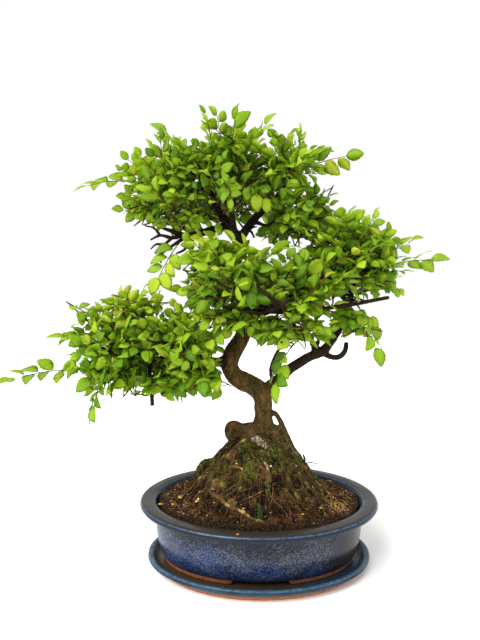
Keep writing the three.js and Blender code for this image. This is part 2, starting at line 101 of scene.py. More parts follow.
SAUCER_PROFILE = [
    (0, 0, 0), (60, 43, 0), (107, 75.5, 0), (109.2, 77.2, 0.3), (110.3, 78.1, 1.3), (111.6, 79, 2.5),
    (114.4, 80.5, 4.5), (117.6, 82.1, 6.6), (120.4, 84.5, 8.2), (121.7, 85.7, 9.3), (121.9, 85.9, 10),
    (121.2, 85.2, 10.5), (121.1, 85.1, 10.9), (121.6, 85.6, 11.5), (121.5, 85.5, 12.5), (120.9, 84.9, 13.2),
    (119.6, 83.6, 13.45), (118.2, 82.4, 13.2), (116.8, 81, 12.5), (115, 79.9, 10.6), (113, 78.5, 8),
    (111.2, 76.9, 6.3), (109, 75, 5.3), (104, 71, 5), (60, 43, 5), (0, 0, 5),
]

# Earth, as in the solids

MOUND = {"x": -3, "y": -2, "squeeze": 0.88}
MOUND_PROFILE = [
    (0, 141), (18, 137), (28, 128), (38, 117), (48, 105), (58, 92), (68, 81), (80, 73), (95, 69), (140, 67),
]
SOIL_TOP = {"x": 109.6, "y": 81.6}
SOIL_WALL = [(0, 0, 17.9), (91.4, 55.4, 17.9), (99.5, 63.5, 20.2), (105.5, 75.5, 34.2), (108.5, 80.5, 64)]

TANGLE = {"x": 80, "y": -33, "reach": 10, "count": 40}  # a clump of dry root hairs on the flat earth
SEEDLING = (-1, -74)
# Fallen leaves: x, y, length and tone
FALLEN = [
    (-105, -20, 9, 0.92), (-91, -26, 7, 0.8), (-84, -22, 8, 1.0), (-23, -94.5, 5, 0.86), (87, 43, 8, 0.5),
    (62, -48, 7, 0.75), (-64, -44, 6, 0.95), (40, -66, 6, 0.9),
]

# The route of each limb and root, as in the solids: x, y, z and radius

LIMBS = {
    "trunk": [(4, 0, 118, 15), (4, 0, 134, 14), (4, 0, 146, 11.5), (5, 0, 161, 10), (5, 0, 176, 9.8),
        (2, 0, 188, 10.2), (-7, 0, 198, 10), (-19, -2, 207, 9.8), (-30, -3, 219, 9.8), (-35, -3, 231, 9.5),
        (-30, -2, 243, 9.2), (-24, 0, 253, 9), (-23, 2, 267, 8.6), (-26, 4, 285, 8.2), (-29, 5, 302, 7.8),
        (-27, 5, 322, 7.2), (-23, 4, 342, 6.8), (-23, 3, 357, 6.2)],
    "right_limb": [(5, 0, 179, 8.4), (11, 0, 191, 7.6), (20, 0, 199, 6.6), (31, -2, 210, 6),
        (43, -4, 219, 5.6), (56, -6, 227, 5.4), (68, -7, 232, 5.2), (78, -6, 242, 4.8), (86, -4, 254, 4.4),
        (93, 0, 268, 4), (101, 4, 284, 3.6), (104, 6, 302, 3.1), (110, 6, 322, 2.5), (116, 4, 342, 1.8)],
    "left_limb": [(-33, -2, 225, 6.4), (-43, -6, 221, 5.5), (-56, -10, 223, 5), (-70, -12, 229, 4.5),
        (-85, -14, 235, 4), (-103, -16, 233, 3.4), (-122, -18, 230, 2.7), (-140, -20, 233, 2.1),
        (-160, -22, 236, 1.5)],
    "crown_left": [(-23, 3, 352, 6), (-29, 2, 366, 5.4), (-40, 0, 380, 4.6), (-49, -4, 395, 3.8),
        (-53, -6, 411, 3), (-51, -6, 430, 2)],
    "crown_right": [(-23, 3, 352, 5.6), (-14, 4, 366, 5), (-3, 6, 380, 4.4), (11, 8, 394, 3.6),
        (24, 8, 407, 2.8), (35, 6, 424, 1.8)],
    "crown_side": [(-34, 2, 369, 4.6), (-51, -4, 365, 4.2), (-67, -10, 359, 3.8), (-82, -14, 358, 3.2),
        (-95, -18, 362, 2.4), (-107, -20, 366, 1.5)],
    "crown_back": [(-23, 5, 356, 4.2), (-35, 35, 389, 3.2), (-45, 52, 410, 2)],
    "crown_front": [(-25, 0, 357, 4.2), (-29, -25, 378, 3.2), (-25, -42, 397, 2)],
    "antler": [(-76, -13, 358, 2.8), (-86, -18, 350, 2.2), (-97, -22, 342, 1.5)],
    "stump": [(62, -7, 230, 4.2), (61, -8, 238, 4.6), (61, -8, 244, 4.4)],
    "hook": [(69, -7, 232, 4.2), (78, -9, 227, 3.9), (87, -10, 227, 3.6), (93, -10, 233, 3.3),
        (95, -9, 243, 2.9)],
    "right_front": [(101, 4, 284, 3), (81, -22, 299, 2.6), (65, -42, 311, 1.7)],
    "right_back": [(103, 6, 298, 2.8), (99, 32, 313, 2.3), (95, 48, 326, 1.6)],
    "mid_front": [(-23, 0, 262, 5.4), (-12, -20, 269, 4.8), (0, -42, 274, 4), (14, -62, 280, 3.2),
        (24, -72, 286, 2)],
    "cut_twig": [(6, -50, 277, 2.9), (38, -42, 276, 2.8), (70, -36, 280, 2.5), (102, -33, 285, 2.3),
        (134, -32, 291, 2)],
    "mid_back": [(-27, 4, 289, 4), (-14, 28, 301, 3.2), (6, 46, 312, 2)],
    "left_up_back": [(-70, -12, 229, 3.2), (-82, 18, 239, 2.7), (-98, 36, 249, 1.8)],
    "left_front": [(-85, -14, 235, 3), (-98, -40, 246, 2.2)],
    "left_stub": [(-115, -18, 230, 2.2), (-116, -22, 212, 2.1), (-114, -24, 194, 2), (-113, -25, 177, 1.9)],
    "hanging_twig": [(16, 0, 197, 2), (13, -4, 212, 1.6), (18, -14, 230, 1.5), (25, -28, 243, 1.4),
        (32, -44, 257, 1.5), (35, -50, 273, 1.8)],
}
ROOTS = {
    "knob": [(-1, -4, 136, 8), (-14, -10, 144, 6.2), (-24, -13, 153, 5.2), (-30, -15, 154, 5),
        (-32, -18, 146, 4.6), (-27, -22, 136, 4)],
    "arch": [(8, 2, 162, 3.6), (18, 2, 166, 3.2), (26, 1, 156, 3.2), (31, 0, 142, 3.3), (38, -2, 127, 3.2),
        (43, -4, 110, 3)],
    "long": [(-8, -10, 136, 6.5), (-20, -20, 129, 5.2), (-30, -22, 119, 4.6), (-41, -23, 107, 4.4),
        (-48, -28, 96, 4.2), (-50, -36, 88, 3.6), (-43, -50, 84, 3), (-31, -60, 82, 2.4),
        (-18, -68, 77, 1.8)],
    "right": [(10, -1, 140, 9), (24, -4, 134, 6.8), (36, -5, 122, 5.4), (47, -10, 109, 4.4),
        (60, -6, 93, 3.4), (80, 4, 74, 2.4), (97, 8, 67, 1.6)],
    "crown": [(-18, -12, 134, 5.6), (-10, -16, 137, 6), (3, -19, 137, 6.2), (14, -23, 131, 5.6),
        (26, -21, 125, 4.8), (37, -14, 117, 4)],
    "cross": [(-4, -27, 128, 3), (9, -29, 127, 3.8), (21, -29, 122, 3.8), (34, -27, 113, 3.2),
        (44, -28, 102, 2.6), (52, -34, 91, 2)],
    "front": [(2, -28, 128, 2.6), (6, -44, 111, 3), (8, -52, 101, 2.8), (6, -59, 92, 2.4),
        (5, -66, 83, 1.8)],
    "front_right": [(22, -28, 121, 2.8), (27, -40, 108, 2.8), (32, -48, 97, 2.4), (41, -54, 86, 1.8)],
    "left_back": [(-8, 6, 133, 7), (-27, 10, 128, 5.4), (-41, 12, 114, 4.4), (-50, 11, 101, 4),
        (-60, 12, 90, 3), (-74, 14, 77, 2)],
    "left_knob": [(-20, -8, 126, 4), (-36, -6, 112, 4.2), (-50, -6, 110, 4.4), (-60, -6, 108, 4.4),
        (-66, -7, 97, 3.8), (-66, -9, 86, 3)],
    "back_right": [(8, 8, 133, 6.5), (22, 22, 124, 5), (34, 34, 108, 4), (46, 44, 90, 3), (56, 54, 77, 2)],
    "back": [(-2, 8, 133, 6), (-8, 30, 123, 4.6), (-12, 46, 104, 3.6), (-10, 62, 83, 2.4)],
}
# Too thin for the mesh of the thick wood, so they join the twigs
THIN_LIMBS = ("hanging_twig", "left_stub")
# No fine twigs start from these
LEAFLESS = ("hanging_twig", "left_stub", "hook", "stump", "cut_twig")
# How thick some limbs are beside the same ones in the solids
FULLER = {"root_knob": 1.05, "hook": 0.85, "root_long": 1.1, "root_left_knob": 1.15, "root_right": 1.2}
# What the solids leave out: how the trunk's bend sags and leans, and the wood round the knob and the arch
FINER_LIMBS = {
    "trunk": [*LIMBS["trunk"][:5], (2, 0, 187, 10.4), (-8, 0, 195, 10.5), (-17, -1, 199, 10.5),
        (-26, -2, 205, 10.1), (-32, -3, 216, 9.7), (-29.5, -3, 228, 9.6), (-24, -2, 238, 9.3),
        (-18.5, -1, 247, 9), (-15.5, 0, 257, 8.8), (-16, 1, 268, 8.6), (-22, 3, 285, 8.2),
        (-28, 5, 302, 7.8), *LIMBS["trunk"][15:]],
    "root_knob": [(-1, -4, 136, 8), (-13, -9, 146, 5.6), (-22, -12, 151.5, 4.7), (-28, -14, 154, 4.6),
        (-32, -16, 151.5, 4.7), (-32.5, -18, 145.5, 4.3), (-28, -21, 138, 4)],
    "root_arch": [(9, 2, 158, 4.6), (17, 2, 163.6, 2.9), (23.5, 1, 156, 2.8), (28.5, 0, 144, 3.1),
        (36, -2, 128, 3.2), (43, -4, 110, 3)],
    "root_collar": [(4, 1, 174, 9), (6, 1, 160, 9.6), (8, 1, 148, 10)],
    "root_shoulder": [(8, 1, 148, 7), (17, 0, 146, 5.6), (25, -1, 142, 5.4), (32, -2, 134, 5)],
    "root_hollow": [(-16, -8, 143, 5), (-20, -9, 143.5, 5), (-24, -10, 146, 4.8), (-27, -12, 140, 5)],
    "root_bridge": [(-21, -9, 150, 4.4), (-12, -6, 148.5, 6), (-2, -4, 147, 8)],
}
# Roots on the mound: their tone, and x, y and radius along each
MOUND_ROOTS = [
    (0.66, [(-39, -22, 2.2), (-45, -25, 2.6), (-49, -31, 2.7), (-52, -37, 2.6), (-52, -41, 2.4),
        (-47, -47, 2.2), (-40, -53, 2.2), (-34, -60, 2), (-27, -65, 2), (-17, -70, 1.7), (-11, -74, 1.6),
        (-3, -76, 1.3), (3, -78, 0.7)]),
    (0.75, [(-13, -11, 0.8), (-22, -11, 0.9), (-31, -15, 0.8), (-38, -18, 0.8), (-44, -18, 0.7)]),
    (0.55, [(-1, -12, 1.6), (-14, -17, 2.4), (-23, -19, 2.4), (-32, -23, 2.3), (-40, -22, 2.2)]),
    (0.6, [(-41, -22, 1.6), (-32, -25, 1.6), (-25, -27, 0.8)]),
    (0.74, [(5, -30, 1.4), (14, -29, 2.2), (25, -27, 2), (33, -25, 1.1)]),
    (0.8, [(4, -37, 1.1), (7, -40, 1.6), (9, -44, 1.6)]),
    (0.62, [(9, -44, 1.6), (10, -47, 1.9), (8, -51, 2), (8, -56, 1.7), (7, -61, 1)]),
    (0.72, [(-20, -62, 0.5), (-2, -57, 0.6), (18, -48, 0.5)]),
    (0.68, [(-32, -32, 1.2), (-24, -36, 2), (-18, -40, 2), (-13, -44, 1)]),
    (0.7, [(25, -55, 0.7), (39, -54, 0.7), (55, -55, 0.5)]),
    (0.9, [(24, -36, 0.8), (27, -41, 1.2), (30, -44, 0.8)]),
    (0.9, [(50, -24, 0.6), (50, -32, 0.6), (47, -40, 0.5)]),
    (0.6, [(40, -8, 1.2), (46, -16, 2), (58, -14, 1.8), (70, -14, 1.2), (79, -23, 0.8)]),
    (0.5, [(-55, -6, 1.2), (-66, -16, 1.3), (-80, -22, 0.9), (-93, -24, 0.5)]),
]
# Knots of the wood: their middle, how wide and how tall each is
KNOTS = [
    ((-19, -9, 205), 5, 1.4), ((1, -9, 158), 4, 1.2), ((-31, -9, 234), 5, 1.2), ((3, -12, 142), 5, 1.6),
    ((-22, -8, 262), 3.5, 1.2), ((45, -9, 221), 3, 0.9), ((-55, -15, 224), 3, 0.9),
]
# The bleached patch of the root across the front: its middle, and its half sizes along, up and through
BLEACHED = {"at": (-1, -25, 138.5), "size": (12, 4.6, 12)}
PERCH_FROM = 11  # leafy twigs leave the trunk from this point of its route on

# The rule that places the shoots of the solids

LEAF = {"length": 21, "arch": 0.07, "droop": 0.12, "fold": 0.35}
# The rule tries these turns in radians, until a leaf or shoot clears all other pieces
LEAF_ROLLS = (0, 0.5, -0.5, 1, -1)
SHOOT = {"length": 54, "base": 1.0, "tip": 0.5, "bow": 0.12, "tilt": 54, "roll": 2, "leaves": 7, "last": 0.98}
SHOOT_TURNS = (0, 0.2, -0.2, 0.4, -0.4, 0.6)
SAME_PLACE = 0.05  # a leaf of the rule is a leaf of the solid when its tip is this near to a corner
TWIG = {"base": 1.8, "tip": 1.1, "neck": 6, "gap": 0.39}
BALL_STEP = 2.5
SEED = 4211
SEED_STEP = 7919
NUMBERS_PER_CLOUD = 20
GOLDEN = math.pi * (3 - math.sqrt(5))
CLOUDS = {
    "crown": {"at": (-32, 0, 418), "size": (106, 82, 66), "shoots": 11},
    "right": {"at": (104, 4, 330), "size": (62, 60, 54), "shoots": 5},
    "middle": {"at": (-4, -46, 302), "size": (72, 50, 46), "shoots": 4},
    "left": {"at": (-118, -12, 240), "size": (90, 62, 42), "shoots": 7},
}
# Single shoots that reach out of the clouds: the cloud each belongs to and its two ends
STRAYS = {
    "far_left": ("left", (-200, -25, 214), (-254, -30, 206)),
    "crown_far_left": ("crown", (-128, -20, 412), (-180, -22, 408)),
    "crown_far_right": ("crown", (44, -6, 428), (92, -12, 442)),
    "low_right": ("right", (104, -30, 279), (118, -36, 240)),
    "low_left": ("left", (-158, -32, 216), (-172, -38, 172)),
    "hanging_left": ("crown", (-86, -24, 346), (-104, -34, 312)),
    "low_middle": ("middle", (32, -30, 238), (16, -46, 206)),
    "far_right": ("right", (130, -18, 322), (178, -26, 330)),
    "right_front": ("right", (88, -28, 306), (104, -68, 332)),
    "right_high": ("right", (112, -4, 336), (84, -36, 372)),
    "right_side": ("right", (122, 0, 328), (170, 14, 352)),
    "left_inner": ("left", (-66, -30, 236), (-30, -60, 258)),
    "left_under": ("left", (-96, -22, 230), (-64, -44, 204)),
    "crown_high_left": ("crown", (-66, -6, 424), (-98, -16, 464)),
}

# Pads of finer shoots that fill the clouds: cloud, middle, half sizes, number of shoots and leaf length
PADS = [
    ("crown", (-104, -4, 416), (48, 54, 42), 36, 15),
    ("crown", (-44, 2, 440), (68, 66, 46), 58, 15),
    ("crown", (26, 0, 428), (50, 58, 46), 40, 15),
    ("crown", (-40, -36, 398), (84, 40, 32), 26, 16),
    ("crown", (-36, 42, 404), (78, 38, 36), 32, 16),
    ("crown", (-118, -10, 388), (32, 38, 24), 14, 14),
    ("crown", (34, -4, 370), (34, 44, 34), 28, 16),
    ("crown", (56, 0, 392), (22, 40, 18), 14, 15),
    ("right", (96, 5, 344), (56, 56, 42), 48, 17),
    ("right", (118, 0, 316), (38, 44, 34), 24, 17),
    ("right", (74, -24, 316), (50, 42, 36), 32, 18),
    ("right", (96, -30, 268), (14, 16, 18), 6, 18),
    ("middle", (-12, -50, 306), (66, 40, 42), 42, 19),
    ("middle", (36, -44, 290), (50, 36, 38), 34, 20),
    ("middle", (30, -50, 256), (46, 26, 16), 16, 18),
    ("middle", (-50, -30, 338), (26, 30, 22), 14, 18),
    ("middle", (-58, -24, 304), (24, 30, 22), 14, 17),
    ("left", (-152, -14, 236), (60, 48, 42), 42, 16),
    ("left", (-96, -12, 250), (60, 54, 42), 46, 16),
    ("left", (-74, -36, 238), (28, 34, 28), 18, 17),
    ("left", (-124, -22, 207), (68, 40, 22), 36, 18),
    ("left", (-136, -8, 282), (34, 34, 18), 14, 15),
    ("left", (-176, -14, 266), (18, 22, 12), 6, 14),
    ("left", (-62, -36, 212), (26, 26, 14), 14, 19),
    ("left", (-44, -42, 200), (10, 12, 6), 5, 19),
    ("middle", (-12, -42, 264), (26, 24, 14), 14, 18),
    ("crown", (-78, -16, 374), (38, 34, 16), 16, 14),
    ("left", (-44, -30, 274), (18, 20, 16), 8, 17),
]

# Dead spurs without leaves, under the crown and round the stump
SPURS = [
    [(-82, -14, 358, 2.6), (-92, -20, 354, 2.0), (-104, -24, 356, 1.5), (-114, -26, 351, 0.9)],
    [(-67, -10, 359, 2.6), (-74, -16, 349, 1.9), (-80, -20, 341, 1.4), (-88, -22, 337, 0.8)],
    [(-97, -22, 342, 1.6), (-104, -24, 335, 1.2), (-103, -26, 327, 0.8)],
    [(-92, -20, 354, 1.8), (-100, -24, 347, 1.4), (-108, -28, 346, 1.1), (-113, -30, 341, 0.7)],
    [(-60, -7, 362, 2.8), (-70, -2, 370, 2.3), (-84, 2, 374, 1.8), (-98, 4, 372, 1.3), (-112, 2, 378, 0.9)],
    [(-104, -24, 356, 1.4), (-110, -28, 363, 1.1), (-119, -30, 365, 0.7)],
    [(-51, -4, 365, 3.0), (-58, -14, 374, 2.4), (-70, -20, 380, 1.9), (-84, -24, 379, 1.5),
        (-96, -30, 384, 1.0)],
    [(-14, 4, 366, 3.0), (-4, -8, 372, 2.2), (8, -14, 368, 1.6), (18, -20, 374, 1.0)],
    [(-29, 2, 366, 3.0), (-36, -12, 374, 2.4), (-46, -24, 372, 1.8), (-56, -32, 378, 1.2)],
    [(58, -8, 240, 2.2), (55, -9, 247, 1.5), (51, -9, 252, 0.5)],
    [(63, -10, 240, 2.2), (65, -11, 249, 1.4), (64, -12, 255, 0.4)],
    [(60, -4, 241, 2.0), (59, -3, 250, 1.2), (61, -3, 254, 0.4)],
    [(74, -7, 238, 2.0), (77, -10, 246, 1.3), (75, -12, 252, 0.5)],
    [(48, -10, 106, 1.2), (50, -11, 115, 1.0), (48, -12, 121, 0.7)],
    [(46, -12, 110, 0.6), (56, -13, 112.5, 0.45), (64, -14, 111, 0.3)],
]


def colour_setting(name, description, code):
    """A colour whose usual value is an sRGB hex value."""
    return bpy.props.FloatVectorProperty(
        name=name, description=description, subtype="COLOR", default=linear(code))


def count_setting(name, description, default, least=0, most=100000):
    """A whole number."""
    return bpy.props.IntProperty(name=name, description=description, default=default, min=least, max=most)


def length_setting(name, description, default, least, most):
    """A length in metres."""
    return bpy.props.FloatProperty(
        name=name, description=description, subtype="DISTANCE", unit="LENGTH", default=default,
        min=least, max=most, precision=5)


class PotSettings(bpy.types.PropertyGroup):
    cobalt: colour_setting("Cobalt", "Colour of the thick glaze", "0f2149")
    slate: colour_setting("Slate", "Colour of the glaze where it runs dark", "181d27")
    frost: colour_setting("Frost", "Colour of the pale specks in the glaze", "98a0b4")
    thin: colour_setting("Thin glaze", "Colour of the glaze over edges", "3a566f")
    clay: colour_setting("Clay", "Colour of the bare stoneware", "b06a3c")
    teal: colour_setting("Saucer glaze", "Colour of the saucer's lip", "1f3a4c")
    ripple: length_setting("Ripple", "How far the pressed wall strays from true", 0.00025, 0, 0.001)
    segments: count_setting("Segments", "Facets round the pot", 240, 48, 480)


class EarthSettings(bpy.types.PropertyGroup):
    # The first colour is damp earth and painted shade in the hollows; the second is dry earth and partly
    # painted light on the raised crumbs.
    dark: colour_setting("Damp earth", "Colour of the earth in its hollows", "0b0603")
    dry: colour_setting("Dry earth", "Colour of the earth on top", "44301b")
    moss: colour_setting("Moss", "Colour of the moss", "3c430f")
    crumbs: count_setting("Crumbs", "Loose crumbs on the earth", 5200)
    fibres: count_setting("Fibres", "Fine dead roots on the earth", 2100)
    rootlets: count_setting("Rootlets", "Thin living roots on the mound", 80)
    moss_blades: count_setting("Moss blades", "Places tried for a blade of moss", 15000)


class WoodSettings(bpy.types.PropertyGroup):
    bark: colour_setting("Bark", "Colour of the trunk", "463b1c")
    ochre: colour_setting("Ochre patches", "Colour where bark has flaked", "654a20")
    dark_limb: colour_setting("Dark limbs", "Colour of limbs and cracks", "261c14")
    young: colour_setting("Young twigs", "Colour of this year's twigs", "5f3c2a")
    bare_twigs: count_setting("Bare twigs", "Dead twigs inside the foliage", 210)
    voxel: length_setting("Mesh size", "Edge length of the wood's mesh", 0.00105, 0.0006, 0.003)


class LeafSettings(bpy.types.PropertyGroup):
    # The darkest colour is for old inner leaves, and for low leaves, where it is painted shade
    shade: colour_setting("Old leaves", "Colour of the darkest leaves", "69981c")
    green: colour_setting("Leaves", "Colour of most leaves", "b2d228")
    fresh: colour_setting("Young leaves", "Colour of the youngest leaves", "cfd945")
    teeth: count_setting("Teeth", "Teeth on each side of a leaf", 5, 3, 12)


class StageSettings(bpy.types.PropertyGroup):
    floor: colour_setting("Floor", "Colour of the floor", "f6f6f5")
    room: bpy.props.FloatProperty(
        name="Room light", description="Strength of the light from all sides", default=1.0, min=0, max=2)
    key: bpy.props.FloatProperty(
        name="Key light", description="Strength of the soft light from the upper left", default=3.7, min=0)
    fill: bpy.props.FloatProperty(
        name="Fill light", description="Power of the light from the right", subtype="POWER", unit="POWER",
        default=0.9, min=0)


# Small tools


def smoothstep(value):
    """0 below 0, 1 above 1 and a soft step between."""
    t = np.clip(value, 0, 1)
    return t * t * (3 - 2 * t)


def lumps(points, size, seed=0):
    """Soft noise from -1 to 1 with lumps about size across. Each seed gives its own pattern."""
    spots = np.asarray(points, float) / size
    cell = np.floor(spots).astype(np.int64)
    part = smoothstep(spots - cell)
    total = np.zeros(len(spots))
    for corner in np.ndindex(2, 2, 2):
        key = cell + corner
        mixed = (key * (374761393, 668265263, 1440662683)).sum(axis=1) + seed * 974634777 & 0xFFFFFFFF
        mixed = ((mixed ^ (mixed >> 13)) * 1274126177) & 0xFFFFFFFF
        mixed = mixed ^ (mixed >> 16)
        share = np.prod(np.where(corner, part, 1 - part), axis=1)
        total += share * (mixed / 0x7FFFFFFF - 1)
    return total


def catmull(points, t):
    """A place on the centripetal Catmull-Rom curve through points, and its direction, at share t."""
    def at(share):
        spans = len(points) - 1
        place = min(max(share, 0), 1) * spans
        i = min(int(place), spans - 1)
        w = place - i
        p1, p2 = points[i], points[i + 1]
        p0 = points[i - 1] if i > 0 else 2 * p1 - p2
        p3 = points[i + 2] if i + 2 <= spans else 2 * p2 - p1
        d1 = (p2 - p1).length_squared ** 0.25
        d0 = (p1 - p0).length_squared ** 0.25
        d2 = (p3 - p2).length_squared ** 0.25
        m1 = ((p1 - p0) / d0 - (p2 - p0) / (d0 + d1) + (p2 - p1) / d1) * d1
        m2 = ((p2 - p1) / d1 - (p3 - p1) / (d1 + d2) + (p3 - p2) / d2) * d1
        c2 = 3 * (p2 - p1) - 2 * m1 - m2
        c3 = 2 * (p1 - p2) + m1 + m2
        return p1 + m1 * w + c2 * w * w + c3 * w ** 3

    step = 1e-4
    return at(t), (at(t + step) - at(t - step)).normalized()


def resampled(route, step, most=400):
    """Places about step apart on the smooth curve through a route, most in a span, each with its radius."""
    spots = [Vector(p[:3]) for p in route]
    spans = len(route) - 1
    made = []
    for i in range(spans):
        count = min(most, max(1, round((spots[i + 1] - spots[i]).length / step)))
        for k in range(count + (i == spans - 1)):
            w = k / count
            place = catmull(spots, (i + w) / spans)[0]
            made.append((*place, route[i][3] * (1 - w) + route[i + 1][3] * w))
    return np.array(made)


def unit(rows):
    """Each row scaled to length 1."""
    return rows / np.maximum(np.linalg.norm(rows, axis=-1, keepdims=True), 1e-12)


def ringed(rings, sides):
    """Faces round a row of rings, with a fan over each end from the two points that follow the rings."""
    first, end = rings * sides, (rings - 1) * sides
    faces = []
    for k in range(sides):
        n = (k + 1) % sides
        faces.append((first, n, k))
        for a in range(0, end, sides):
            faces.append((a + k, a + n, a + n + sides, a + k + sides))
        faces.append((first + 1, end + k, end + n))
    return faces


def tube(line, sides):
    """Points and faces of a closed tube along a line of x, y, z and radius."""
    centres, radii = line[:, :3], line[:, 3]
    ahead = unit(np.gradient(centres, axis=0))
    normal = np.array([0.13, 0.91, 0.4])
    rings = []
    for centre, radius, forward in zip(centres, radii, ahead):
        normal = normal - forward * normal.dot(forward)
        normal /= np.linalg.norm(normal)
        across = np.cross(forward, normal)
        angle = 2 * np.pi * np.arange(sides) / sides
        rings.append(centre + radius * (np.outer(np.cos(angle), normal) + np.outer(np.sin(angle), across)))
    return np.concatenate([*rings, centres[:1], centres[-1:]]), ringed(len(line), sides)


def turned_oval(profile, segments):
    """Points and faces of an oval turned shape. The profile starts and ends on the axis."""
    rows = np.array(profile, float)
    angle = np.linspace(0, 2 * np.pi, segments, endpoint=False)
    body = rows[1:-1]
    grid = np.stack([np.outer(body[:, 0], np.cos(angle)), np.outer(body[:, 1], np.sin(angle)),
        np.repeat(body[:, 2:3], segments, 1)], -1)
    points = np.concatenate([grid.reshape(-1, 3), [(0, 0, rows[0, 2]), (0, 0, rows[-1, 2])]])
    return points, ringed(len(body), segments)


def rounded_profile(profile, step):
    """A profile with more rows, on a smooth curve through the given ones."""
    route = [(*row, 0) for row in profile]
    made = resampled(route, step, 5)[:, :3]
    made[:, :2] = np.maximum(made[:, :2], 0)
    made[0], made[-1] = profile[0], profile[-1]
    return made


class Shape:
    """Points in millimetres and faces that become one mesh, with named values at each point."""

    def __init__(self):
        self.points, self.faces, self.slots, self.values, self.count = [], [], [], {}, 0

    def add(self, points, faces, slot=0, **values):
        points = np.asarray(points, float)
        for name in {*self.values, *values}:
            rows = self.values.setdefault(name, [np.zeros(self.count)] if self.count else [])
            rows.append(np.broadcast_to(np.asarray(values.get(name, 0.0), float), len(points)))
        start = self.count
        self.points.append(points)
        self.faces.extend(tuple(i + start for i in face) for face in faces)
        self.slots.extend([slot] * len(faces))
        self.count += len(points)

    def build(self, name, materials):
        mesh = bpy.data.meshes.new(name)
        mesh.from_pydata(np.concatenate(self.points) * MM, [], self.faces)
        for material in materials:
            mesh.materials.append(material)
        mesh.polygons.foreach_set("material_index", self.slots)
        for key, rows in self.values.items():
            layer = mesh.attributes.new(key, "FLOAT", "POINT")
            layer.data.foreach_set("value", np.concatenate(rows).astype(np.float32))
        mesh.shade_smooth()
        piece = bpy.data.objects.new(name, mesh)
        bpy.context.scene.collection.objects.link(piece)
        return piece


def finished(piece, slot, *replaced):
    """Puts a piece on the frame, where it stands for the nodes that it replaces."""
    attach(piece, "root")
    if replaced:
        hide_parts(*replaced)


def with_modifiers(piece):
    """Turns what a piece's modifiers make into its own mesh."""
    shown = piece.evaluated_get(bpy.context.evaluated_depsgraph_get())
    mesh = bpy.data.meshes.new_from_object(shown)
    old = piece.data
    piece.modifiers.clear()
    piece.data = mesh
    bpy.data.meshes.remove(old)
    mesh.name = piece.name


def points_of(mesh):
    """A mesh's points in millimetres."""
    flat = np.zeros(len(mesh.vertices) * 3)
    mesh.vertices.foreach_get("co", flat)
    return flat.reshape(-1, 3) / MM


def set_points(mesh, points):
    """Moves a mesh's points to places in millimetres."""
    mesh.vertices.foreach_set("co", (points * MM).ravel())
    mesh.update()


def set_values(mesh, **values):
    """Stores named values at a mesh's points."""
    for name, rows in values.items():
        layer = mesh.attributes.get(name) or mesh.attributes.new(name, "FLOAT", "POINT")
        layer.data.foreach_set("value", np.asarray(rows, np.float32))


# Materials

MIX_A, MIX_B = 6, 7  # a colour mix's two colours
GIVEN = {"Attribute": "Fac", "TexCoord": "Object", "Mix": 2}  # which output is used, if not the first


def rgba(colour):
    """A colour with its alpha, from a hex value or from red, green and blue."""
    return (*(linear(colour) if isinstance(colour, str) else colour), 1)


def add(tree, kind, inputs=None, stops=(), out=None, **settings):
    """Adds a node and gives its output.

    Inputs are values, or outputs to link. Stops are a ramp's places and colours.
    """
    made = tree.nodes.new(f"ShaderNode{kind}")
    for name, value in settings.items():
        setattr(made, name, value)
    for key, value in (inputs or {}).items():
        if isinstance(value, bpy.types.NodeSocket):
            tree.links.new(value, made.inputs[key])
        else:
            made.inputs[key].default_value = value
    if stops:
        ramp = made.color_ramp.elements
        while len(ramp) < len(stops):
            ramp.new(0.5)
        for element, (place, colour) in zip(ramp, stops):
            element.position = place
            element.color = rgba(colour)
    if not made.outputs:
        return None
    return made.outputs[GIVEN.get(kind, 0) if out is None else out]


def per_mm(size):
    """The scale that makes a texture's features about size millimetres across."""
    return 1 / (size * MM)


def new_material(name, *values):
    """A material, its empty tree, where a point is, and the values of these names that the points hold."""
    material = bpy.data.materials.new(name)
    material.use_nodes = True
    tree = material.node_tree
    tree.nodes.clear()
    held = [add(tree, "Attribute", attribute_name=value) for value in values]
    return material, tree, add(tree, "TexCoord"), *held


